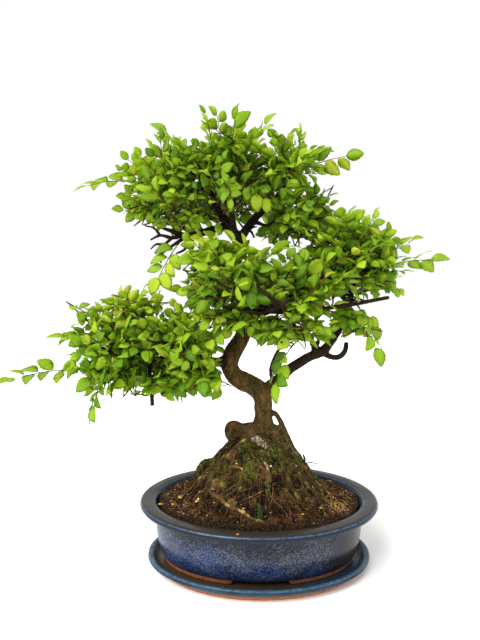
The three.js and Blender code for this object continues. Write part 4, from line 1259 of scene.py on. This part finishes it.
class BONSAI_OT_saucer(bpy.types.Operator):
    """Builds the glazed saucer"""

    bl_idname = "bonsai.saucer"
    bl_label = "Saucer"

    def execute(self, context):
        settings = context.scene.bonsai_pot
        points, faces = turned_oval(rounded_profile(SAUCER_PROFILE, 1.2), settings.segments)
        inside = points[:, 2] > 4.5
        reach = np.hypot(points[:, 0] / 122, points[:, 1] / 86)
        wave = settings.ripple / MM * lumps(points, 30, 21)
        points[:, 2] += np.where((points[:, 2] > 3) & (reach > 0.9), 0.6 * wave, 0)
        points[:, 2] = np.minimum(points[:, 2], 13.5)
        lip = smoothstep((points[:, 2] - 11.6) / 1.2)
        shape = Shape()
        shape.add(points, faces,
            thin=0.2 + 0.6 * lip * (reach > 0.93),
            depth=0.55, frost=0.15,
            shade=smoothstep((0.965 - reach) * 30) * inside * 0.9 * smoothstep((70 - points[:, 0]) / 60),
            bare=np.where(inside & (reach < 0.99), 0, smoothstep((8.6 - points[:, 2]) / 2)) * (reach > 0))
        glaze = glazed_stoneware(
            "stoneware_dipped_teal_glaze", settings, settings.teal,
            linear("436072"), linear("1b1f26"), linear("3b2d20"))
        finished(shape.build("saucer_glazed", [glaze]), "saucer_glaze", "saucer")
        return {"FINISHED"}


class BONSAI_OT_pot(bpy.types.Operator):
    """Builds the glazed pot with its feet and drain holes"""

    bl_idname = "bonsai.pot"
    bl_label = "Pot"

    def execute(self, context):
        settings = context.scene.bonsai_pot
        points, faces = turned_oval(rounded_profile(POT_PROFILE, 2.4), settings.segments)
        x, y, z = points.T
        front = smoothstep((FOOT_GAP["front"] - np.abs(x)) / FOOT_GAP["edge"] + 0.5) * (np.abs(y) > 40)
        end = smoothstep((FOOT_GAP["end"] - np.abs(y)) / FOOT_GAP["edge"] + 0.5) * (np.abs(x) > 60)
        foot = (z < FOOT_UNDER) & (np.hypot(x / 105, y / 65) < 1.02)
        lifted = z + (FOOT_UNDER - 0.04 * np.hypot(x / 104, y / 64) - z) * np.maximum(front, end)
        points[:, 2] = np.where(foot, lifted, z)
        wall = smoothstep((points[:, 2] - 12) / 6) * smoothstep((70 - points[:, 2]) / 6)
        outward = unit(np.stack([x / RIM["x"] ** 2, y / RIM["y"] ** 2, 0 * z], -1))
        sway = settings.ripple / MM * (0.7 * lumps(points, 38, 31) + 0.3 * lumps(points, 9, 32) - 0.6)
        points += outward * (sway * wall)[:, None]
        height = points[:, 2]
        outside = np.hypot(x / 104, y / 66) > 0.99
        lip_edge = np.exp(-((height - 71.6) / 0.7) ** 2) + 0.6 * np.exp(-((height - 66.6) / 0.9) ** 2)
        band = np.exp(-((height - 38) / 17) ** 2)
        rim_top = smoothstep((height - 72.2) / 0.5)
        # The left and right masks paint light and shade: more pale specks and a little less blue on the
        # wall's left, where the key light falls, as painted light; on its right, away from it, fewer specks,
        # much less blue and the dust colour mixed in, as painted shade.
        right, left = smoothstep((x - 62) / 40), smoothstep((-70 - x) / 30)
        frost = band * (0.3 + 0.3 * lumps(points, 24, 33)) + 0.6 - 0.9 * right + 0.2 * left
        depth = 0.85 - (height - 10) / 52 - 0.003 * x - 0.5 * right - 0.2 * left
        shape = Shape()
        shape.add(points, faces,
            thin=np.clip(lip_edge, 0, 1) * (height > 60),
            # Dust on the rim's top, and painted shade on the wall's right side
            shade=np.maximum(rim_top, 0.8 * right * (height < 66)),
            frost=np.clip(frost, 0, 1) * (height < 64),
            depth=np.clip(depth, 0.05, 1) * (height < 66),
            bare=np.where(outside | (height > 16), smoothstep((12.2 - height) / 3.2), 1.0) * (height < 16.2))
        # The last colour is the dust on the rim and the painted shade on the wall's right side
        glaze = glazed_stoneware(
            "stoneware_dipped_cobalt_glaze", settings, settings.cobalt,
            settings.thin, settings.slate, linear("2b2720"))
        pot = shape.build("pot_glazed", [glaze])
        for side in (-1, 1):
            bit = bpy.data.meshes.new("drain_bit")
            hole, sides = tube(np.array([(side * DRAIN["x"], 0, z, DRAIN["r"]) for z in (4, 12, 30)]), 40)
            bit.from_pydata(hole * MM, [], sides)
            cutter = bpy.data.objects.new("drain_bit", bit)
            context.scene.collection.objects.link(cutter)
            cut = pot.modifiers.new("drain", "BOOLEAN")
            cut.operation = "DIFFERENCE"
            cut.object = cutter
            cut.solver = "EXACT"
            with_modifiers(pot)
            bpy.data.objects.remove(cutter)
        finished(pot, "pot_glaze", "pot")
        return {"FINISHED"}


class BONSAI_OT_drain_mesh(bpy.types.Operator):
    """Builds the two squares of plastic mesh over the drain holes"""

    bl_idname = "bonsai.drain_mesh"
    bl_label = "Drain mesh"

    def execute(self, context):
        plastic = woven_plastic()
        half, pitch, bar = DRAIN["screen"] / 2, DRAIN["screen"] / 8, 0.45
        for side, node in ((-1, "drain_mesh_left"), (1, "drain_mesh_right")):
            shape = Shape()
            for k in range(9):
                off = (k - 4) * pitch * (half - bar) / half
                for across in (False, True):
                    ends = [(-half, off), (half, off)]
                    z = DRAIN["z"] + (0.68 if across else 0.32)
                    line = [(*(reversed(e) if across else e), z) for e in ends]
                    line = np.array([(px + side * DRAIN["x"], py, pz, 0.32) for px, py, pz in line])
                    shape.add(*tube(line, 6))
            finished(shape.build(f"{node}_woven", [plastic]), "drain_plastic", node)
        return {"FINISHED"}


class BONSAI_OT_earth(bpy.types.Operator):
    """Builds the heaped earth with its moss, crumbs, dead roots and seedling"""

    bl_idname = "bonsai.earth"
    bl_label = "Earth"

    def execute(self, context):
        settings = context.scene.bonsai_earth
        rows = [(SOIL_TOP["x"] * s, SOIL_TOP["y"] * s, 70) for s in np.linspace(1, 0, 92)]
        points, faces = turned_oval(rounded_profile(SOIL_WALL, 6).tolist() + rows, 330)
        top = points[:, 2] > 66
        height, crumb = earth_top(points[:, 0], points[:, 1])
        points[:, 2] = np.where(top, height, points[:, 2])
        shape = Shape()
        shape.add(points, faces, crumb=np.where(top, 0.13 * crumb, 0),
            moss=np.where(top, moss_share(points[:, 0], points[:, 1]), 0))
        finished(shape.build("earth_mound", [potting_earth(settings)]), "soil", "soil")
        self.ground = Ground(0.5)
        chance = random.Random(SEED + 1)
        self.crumbs(settings, chance)
        self.fibres(settings, chance)
        self.rootlets(settings, chance)
        self.moss(settings, chance)
        self.litter(chance)
        return {"FINISHED"}

    def spot(self, chance, spread=0.985):
        """A random place on the earth."""
        r, a = math.sqrt(chance.random()) * spread, chance.uniform(0, 2 * math.pi)
        return SOIL_TOP["x"] * r * math.cos(a), SOIL_TOP["y"] * r * math.sin(a)

    def crumbs(self, settings, chance):
        """Crumbs of bark, clay and pumice, each a small lump with corners."""
        corners = [(1, 0, 0.3), (0.2, 1, 0), (-1, 0.2, 0.1), (0, -1, 0.2), (0.1, 0, 1), (0, 0.1, -1)]
        corners = unit(np.array(corners))
        faces = [(0, 1, 4), (1, 2, 4), (2, 3, 4), (3, 0, 4), (1, 0, 5), (2, 1, 5), (3, 2, 5), (0, 3, 5)]
        shape = Shape()
        for _ in range(settings.crumbs):
            x, y = self.spot(chance)
            size = 0.5 + 1.1 * chance.random() ** 3
            pale = chance.random()
            tone = 0.05 + 0.5 * chance.random() if pale < 0.965 else chance.uniform(0.72, 1)
            turn = chance.uniform(0, 6.3)
            cos, sin = math.cos(turn), math.sin(turn)
            spin = np.array([[cos, -sin, 0], [sin, cos, 0], [0, 0, 1]])
            stretch = np.array([chance.uniform(0.7, 1.5), chance.uniform(0.6, 1.1), chance.uniform(0.5, 0.9)])
            z = self.ground.top(x, y) + 0.1 * size
            shape.add((corners * stretch * size) @ spin.T + (x, y, z), faces, tone=tone)
        stuff = varied("akadama_and_pumice_crushed",
            [(0.0, "1a110a"), (0.3, "38261a"), (0.55, "644830"), (0.72, "a9762f"),
                (0.86, "b9ae8c"), (1.0, "d8d0ba")], 0.9, 0.8, 0.3)
        piece = shape.build("earth_crumbs", [stuff])
        piece.data.shade_flat()
        finished(piece, "soil")

    def fibres(self, settings, chance):
        """Dead roots and bark fibres: they run down the mound and lie every way on the flat."""
        shape = Shape()
        for _ in range(settings.fibres):
            x, y = self.spot(chance, 0.94)
            down = math.atan2(y - MOUND["y"], x - MOUND["x"])
            steep = math.hypot(x - MOUND["x"], y - MOUND["y"]) < 78
            way = down + chance.gauss(0, 0.8) if steep else chance.uniform(0, 6.3)
            length = chance.uniform(4, 17) if steep else chance.uniform(3, 11)
            thick = chance.choice((0.18, 0.22, 0.28, 0.36))
            tone = chance.random()
            tone *= 0.7 if steep else 0.95
            shape.add(*self.draped(x, y, way, length, thick, chance, 5, 0.22), tone=tone)
        for _ in range(TANGLE["count"]):
            a, r = chance.uniform(0, 6.3), chance.uniform(1, TANGLE["reach"])
            x, y = TANGLE["x"] + r * math.cos(a), TANGLE["y"] + 0.6 * r * math.sin(a)
            line = self.draped(x, y, chance.uniform(0, 6.3), 11, 0.26, chance, 7, 0.5)
            shape.add(*line, tone=chance.uniform(0.85, 1))
        stuff = varied("dead_root_dried",
            [(0.0, "1d1108"), (0.35, "4c2f17"), (0.65, "855d33"), (0.88, "b4925a"),
                (1.0, "b98f38")], 0.8, 1.5, 0.15)
        finished(shape.build("dead_root_fibres", [stuff]), "soil")

    def draped(self, x, y, way, length, thick, chance, steps, wander):
        """A thin root that lies on the earth, bowed a little off it."""
        line = []
        lift = chance.uniform(0, 0.5) + 0.4 * thick
        for k in range(steps + 1):
            if math.hypot(x / SOIL_TOP["x"], y / SOIL_TOP["y"]) < 0.975 or k < 2:
                z = self.ground.top(x, y) + lift
                line.append((x, y, z, thick * (1 - 0.6 * k / steps)))
            way += chance.gauss(0, wander)
            x += math.cos(way) * length / steps
            y += math.sin(way) * length / steps
        return tube(np.array(line), 3 if thick < 0.5 else 7)

    def rootlets(self, settings, chance):
        """The roots that lie on the mound, and thin ones that wind down it, half in the earth."""
        shape = Shape()
        for tone, route in MOUND_ROOTS:
            line = resampled([(x, y, float(mound_height(x, y)) + 0.3 * r, r) for x, y, r in route], 1.5)
            line[:, 2] += 0.9 * lumps(line[:, :3], 7, 61)
            line[:, 3] *= 1 + 0.4 * lumps(line[:, :3], 3.5, 62)
            points, faces = tube(line, 9)
            points += 0.3 * lumps(points, 1.8, 64)[:, None]
            shape.add(points, faces, tone=tone + 0.5 * lumps(points, 8, 63) + 0.3 * lumps(points, 2.4, 65))
        for _ in range(settings.rootlets):
            a, r = chance.uniform(0, 2 * math.pi), chance.uniform(22, 62)
            x, y = MOUND["x"] + r * math.cos(a) / MOUND["squeeze"], MOUND["y"] + r * math.sin(a)
            thick = chance.choice((0.5, 0.6, 0.8, 1.1, 1.5))
            way = a + chance.gauss(0, 0.7)
            tone = 0.8 * chance.random()
            shape.add(*self.draped(x, y, way, chance.uniform(12, 34), thick, chance, 12, 0.2), tone=tone)
        stuff = varied("zelkova_rootlet_grown",
            [(0.0, "120d06"), (0.35, "281e10"), (0.6, "43341a"), (0.8, "584021"),
                (0.9, "765b32"), (1.0, "9c8454")], 0.8, 2.4, 0.5)
        finished(shape.build("rootlets", [stuff]), "soil")

    def moss(self, settings, chance):
        """Moss: short pointed blades that stand out from the mound."""
        shape = Shape()
        faces = [(0, 1, 3), (1, 2, 3), (2, 0, 3), (2, 1, 0)]
        for _ in range(settings.moss_blades):
            x, y = self.spot(chance, 0.8)
            share = self.ground.moss(x, y)
            if chance.random() > share:
                continue
            z = self.ground.top(x, y)
            slope = Vector((x - MOUND["x"], y - MOUND["y"], 45)).normalized()
            up = (slope + shaken(chance, 0.45)).normalized()
            tall = chance.uniform(0.9, 2.6)
            side = up.orthogonal().normalized()
            other = up.cross(side)
            wide = 0.22
            foot = Vector((x, y, z - 0.3))
            back = foot - side * wide * 0.5
            corners = [foot + side * wide, back + other * wide, back - other * wide, foot + up * tall]
            shape.add([tuple(c) for c in corners], faces, tone=0.25 + 0.5 * chance.random() + 0.2 * share)
        stuff = varied("moss_living",
            [(0.0, "12160a"), (0.4, "2b330b"), (0.7, "515c14"), (0.95, "85902a")],
            0.85, 2.5, 0.1)
        finished(shape.build("moss_tufts", [stuff]), "soil")

    def litter(self, chance):
        """The seedling and the fallen leaves."""
        form = blade_form(4)
        leaves, tones = [], []
        for x, y, length, tone in FALLEN:
            on_rim = math.hypot(x / SOIL_TOP["x"], y / SOIL_TOP["y"]) > 1
            z = RIM["z"] - 0.35 if on_rim else self.ground.top(x, y) + 0.5
            way = chance.uniform(0, 6.3)
            tilt = 0 if on_rim else chance.uniform(-0.2, 0.2)
            along = Vector((math.cos(way), math.sin(way), tilt)).normalized()
            side = along.cross(Vector((0, 0, 1))).normalized()
            leaves.append([Vector((x, y, z)) - along * length / 2, along, side, side.cross(along), length])
            tones.append(tone)
        shape = Shape()
        add_leaves(shape, leaves, form, 0, tones, chance)
        root = Vector((*SEEDLING, self.ground.top(*SEEDLING)))
        stalk = [(*(root + Vector((-0.1 * z, -0.05 * z, z - 1))), 0.35 - 0.015 * z) for z in range(0, 18, 2)]
        shape.add(*tube(np.array(stalk), 5), slot=1, tone=0.3, along=0.5)
        sprig, shades = [], []
        for k in range(28):
            z, a = 1.5 + 0.56 * k, k * GOLDEN
            out = Vector((math.cos(a), math.sin(a), 0.75)).normalized()
            side = out.cross(Vector((0, 0, 1))).normalized()
            foot = root + Vector((-0.1 * z, -0.05 * z, z - 1))
            sprig.append([foot, out, side, side.cross(out), 4.4 - 0.1 * k])
            shades.append(0.12 + 0.2 * chance.random())
        add_leaves(shape, sprig, form, 1, shades, chance)
        dry = varied("leaf_fallen_dried",
            [(0.4, "6d8a2a"), (0.7, "8f7c2c"), (0.85, "b8862e"), (1.0, "c2a84a")],
            0.6, 2, 0.1)
        green = varied("seedling_living", [(0.0, "1f451d"), (0.4, "387034"), (1.0, "7da852")],
            0.5, 2, 0.1)
        finished(shape.build("seedling_and_litter", [dry, green]), "soil")


class BONSAI_OT_wood(bpy.types.Operator):
    """Builds the trunk, limbs and roots with their bark"""

    bl_idname = "bonsai.wood"
    bl_label = "Wood"

    def execute(self, context):
        settings = context.scene.bonsai_wood
        routes = {name: route for name, route in LIMBS.items() if name not in THIN_LIMBS}
        routes.update({f"root_{name}": route for name, route in ROOTS.items()})
        routes.update(FINER_LIMBS)
        shape = Shape()
        lines, roots = [], []
        for name, route in routes.items():
            line = resampled(route, 2)
            line[:, 3] *= FULLER.get(name, 1) + 0.07 * lumps(line[:, :3], 9, 41)
            if name == "stump":
                line[-1, 3] *= 0.93
            lines.append(line)
            roots.append(np.full(len(line), name.startswith("root_")))
            shape.add(*tube(line, 14))
        wood = shape.build("trunk_and_roots", [living_bark(settings)])
        remesh = wood.modifiers.new("skin", "REMESH")
        remesh.mode = "VOXEL"
        remesh.voxel_size = settings.voxel
        remesh.use_smooth_shade = True
        soft = wood.modifiers.new("soft", "SMOOTH")
        soft.factor = 0.5
        soft.iterations = 4
        with_modifiers(wood)
        self.bark(wood.data, np.concatenate(lines), np.concatenate(roots))
        wood.data.shade_smooth()
        finished(wood, "bark", "wood")
        return {"FINISHED"}

    def bark(self, mesh, line, is_root):
        """Grooves, plates and knots, drawn along each limb, and the values that colour them."""
        points = points_of(mesh)
        tree = kdtree.KDTree(len(line))
        for i, spot in enumerate(line):
            tree.insert(spot[:3], i)
        tree.balance()
        near = np.array([tree.find(p)[1] for p in points])
        ahead = unit(np.gradient(line[:, :3], axis=0))[near]
        centre, radius = line[near, :3], line[near, 3]
        run = np.einsum("ij,ij->i", points - centre, ahead)
        outward = unit(points - centre - ahead * run[:, None])
        turn = ahead * (0.78 * np.einsum("ij,ij->i", points, ahead))[:, None]
        drawn = points - turn
        size = np.clip(radius / 9, 0.25, 1)
        grooves = lumps(drawn, 2.6, 51) + 0.5 * lumps(drawn, 1.3, 52)
        plates = lumps(points, 8, 53)
        rings = lumps(points - outward * 3 + ahead * 7, 3.4, 54)
        low_root = is_root[near] * smoothstep((156 - points[:, 2]) / 12)
        gnarls = low_root * (0.9 * lumps(points, 6.5, 57) + 0.9 * lumps(drawn, 3.4, 58))
        relief = 0.5 * grooves + 0.6 * plates + 0.28 * rings + 0.2 * lumps(points, 1.4, 55) + gnarls
        for at, wide, tall in KNOTS:
            relief += tall * np.exp(-(np.linalg.norm(points - at, axis=1) / wide) ** 2) / size
        points += outward * (relief * size * 0.62)[:, None]
        set_points(mesh, np.clip(points, LOW + 0.2, HIGH - 0.2))
        root = is_root[near] * smoothstep((150 - points[:, 2]) / 14)
        facing_up = outward[:, 2]
        green = 0.5 + 0.5 * lumps(points, 9, 56)
        moss = smoothstep((148 - points[:, 2]) / 22)
        moss = moss * smoothstep((green + 0.35 * facing_up - 0.5) * 2.4) * 0.85
        off = points - BLEACHED["at"]
        ways = (off @ (0.83, 0, -0.55), off @ (0.55, 0, 0.83), off[:, 1])
        dead = np.exp(-sum((way / half) ** 2 for way, half in zip(ways, BLEACHED["size"])))
        # The crack value darkens where the relief sinks in: partly dark bark, partly painted shade
        set_values(
            mesh,
            girth=np.maximum(smoothstep((radius - 5.4) / 3.2), 0.75 * is_root[near]),
            crack=np.clip(-0.6 * grooves - 0.3 * plates - 0.35 * gnarls - 0.1, 0, 0.85),
            root=root, moss=moss * (1 - dead), bleached=np.clip(dead * (1 + 0.6 * grooves), 0, 1))


class BONSAI_OT_foliage(bpy.types.Operator):
    """Builds the twigs and the leafy shoots"""

    bl_idname = "bonsai.foliage"
    bl_label = "Foliage"

    def execute(self, context):
        wood, leaf = context.scene.bonsai_wood, context.scene.bonsai_leaf
        chance = random.Random(SEED + 2)
        shoots = solid_shoots()
        thick_twigs, perches = solid_twigs(shoots)
        dull = {ball for name in LEAFLESS for ball in balls_along(LIMBS[name])}
        perches = [ball for ball in perches if ball not in dull]
        branches = boughs(perches, chance)
        for route in branches:
            perches += balls_along(route)[3:]
        finer, fine_twigs = fill_pads(shoots, perches, branches)
        young = varied("zelkova_twig_young",
            [(0.0, "21170f"), (0.35, wood.dark_limb), (0.7, wood.young), (1.0, "846a32")],
            0.62, 2, 0.12)
        blade = leaf_blade(leaf)
        shape = Shape()
        for route in [LIMBS[name] for name in THIN_LIMBS]:
            shape.add(*tube(self.knobbly(resampled(route, 2), chance), 8), tone=0.25)
        self.add_twigs(shape, thick_twigs, 3, 7, (0.1, 0.4), chance, 0.8)
        self.add_twigs(shape, SPURS + branches, 2.5, 7, (0.0, 0.35), chance)
        self.add_twigs(shape, fine_twigs, 4, 5, (0.15, 0.6), chance)
        self.add_twigs(shape, bare_twigs(perches, wood.bare_twigs, chance), 3, 5, (0.0, 0.35), chance)
        finished(shape.build("twigs", [young]), "bark", "wood")
        form = blade_form(leaf.teeth)
        for cloud, settings in CLOUDS.items():
            shape = Shape()
            nodes = []
            for shoot in [s for s in shoots + finer if s.cloud == cloud]:
                if shoot.node:
                    nodes.append(shoot.node)
                stem = resampled([(*p, r) for p, r in zip(shoot.stem, (0.62, 0.52, 0.42, 0.3))], 4)
                shape.add(*tube(stem, 5), slot=1, tone=chance.uniform(0.45, 0.95))
                tones = [self.tone(each, settings, chance) for each in shoot.leaves]
                add_leaves(shape, shoot.leaves, form, 0, tones, chance)
            finished(shape.build(f"foliage_{cloud}", [blade, young]), "leaf", *nodes)
        return {"FINISHED"}

    def add_twigs(self, shape, routes, step, sides, tones, chance, thick=1):
        """Adds a twig along each route, with its tone drawn between two."""
        for route in routes:
            line = resampled(route, step)
            line[:, 3] *= thick
            shape.add(*tube(self.knobbly(line, chance), sides), tone=chance.uniform(*tones))

    def knobbly(self, line, chance):
        """A twig's line, a little thicker at some of its buds."""
        line[:, 3] *= np.array([chance.choice((1, 1, 1.22)) for _ in line])
        return line

    def tone(self, leaf, cloud, chance):
        """Leaves grow paler and yellower towards the outside of their cloud. They are also paler towards its
        top and darker low down, as painted light and shade.
        """
        way = Vector(way_off(leaf[0], cloud))
        outer = min(way.length, 1.3) / 1.3
        # 0.14 * way.z paints light at the top of the cloud and shade low down
        return min(1, max(0, 0.12 + 0.34 * outer + 0.14 * way.z + chance.gauss(0, 0.2)))


class BONSAI_OT_stage(bpy.types.Operator):
    """Builds the floor, the lights and the camera"""

    bl_idname = "bonsai.stage"
    bl_label = "Stage"

    def execute(self, context):
        settings = context.scene.bonsai_stage
        mesh = bpy.data.meshes.new("floor")
        corners = [(x * FLOOR_REACH, y * FLOOR_REACH, 0) for x, y in ((-1, -1), (1, -1), (1, 1), (-1, 1))]
        mesh.from_pydata(corners, [], [(0, 1, 2, 3)])
        mesh.materials.append(studio_paper(settings.floor))
        floor = bpy.data.objects.new("floor", mesh)
        context.scene.collection.objects.link(floor)
        world = bpy.data.worlds.new("studio")
        world.use_nodes = True
        tree = world.node_tree
        tree.nodes.clear()
        room = add(tree, "Background", {"Color": rgba("ffffff"), "Strength": settings.room})
        add(tree, "OutputWorld", {"Surface": room})
        context.scene.world = world
        self.lamp("key", "SUN", KEY_AT, settings.key, angle=math.radians(35))
        self.lamp("fill", "AREA", FILL_AT, settings.fill, shape="DISK", size=0.8)
        context.scene.view_settings.view_transform = "Standard"
        self.camera(context)
        return {"FINISHED"}

    def lamp(self, name, kind, at, power, **settings):
        """A light that points at the middle of the tree."""
        light = bpy.data.lights.new(name, kind)
        light.energy = power
        for key, value in settings.items():
            setattr(light, key, value)
        piece = bpy.data.objects.new(name, light)
        piece.location = at
        piece.rotation_euler = (Vector(TREE_MIDDLE) - Vector(at)).to_track_quat("-Z", "Y").to_euler()
        bpy.context.scene.collection.objects.link(piece)

    def camera(self, context):
        """The photograph's camera: nearly level, at mid height, 0.53 m in front of the trunk."""
        lens = bpy.data.cameras.new("camera")
        lens.sensor_width = CAMERA["sensor"]
        lens.lens = CAMERA["sensor"] * CAMERA["focal_px"] / CAMERA["long_side_px"]
        camera = bpy.data.objects.new("camera", lens)
        camera.location = [place * MM for place in CAMERA["at"]]
        down = math.atan(CAMERA["horizon_px"] / CAMERA["focal_px"])
        camera.rotation_euler = (math.pi / 2 - down, 0, 0)
        context.scene.collection.objects.link(camera)
        context.scene.camera = camera


class BONSAI_PT_panel(bpy.types.Panel):
    """Lists the steps that build the bonsai"""

    bl_idname = "BONSAI_PT_panel"
    bl_label = "Zelkova bonsai"
    bl_space_type = "VIEW_3D"
    bl_region_type = "UI"
    bl_category = "Bonsai"

    def draw(self, context):
        for operator in OPERATORS:
            self.layout.operator(operator.bl_idname)


OPERATORS = (
    BONSAI_OT_saucer,
    BONSAI_OT_pot,
    BONSAI_OT_drain_mesh,
    BONSAI_OT_earth,
    BONSAI_OT_wood,
    BONSAI_OT_foliage,
    BONSAI_OT_stage,
)
SETTINGS = {
    "bonsai_pot": PotSettings,
    "bonsai_earth": EarthSettings,
    "bonsai_wood": WoodSettings,
    "bonsai_leaf": LeafSettings,
    "bonsai_stage": StageSettings,
}


def register():
    for name, group in SETTINGS.items():
        bpy.utils.register_class(group)
        setattr(bpy.types.Scene, name, bpy.props.PointerProperty(type=group))
    for kind in (*OPERATORS, BONSAI_PT_panel):
        bpy.utils.register_class(kind)


def unregister():
    for kind in (BONSAI_PT_panel, *reversed(OPERATORS)):
        bpy.utils.unregister_class(kind)
    for name, group in SETTINGS.items():
        delattr(bpy.types.Scene, name)
        bpy.utils.unregister_class(group)


def main():
    register()
    bpy.ops.bonsai.saucer()
    bpy.ops.bonsai.pot()
    bpy.ops.bonsai.drain_mesh()
    bpy.ops.bonsai.earth()
    bpy.ops.bonsai.wood()
    bpy.ops.bonsai.foliage()
    bpy.ops.bonsai.stage()


if __name__ == "__main__":
    main()
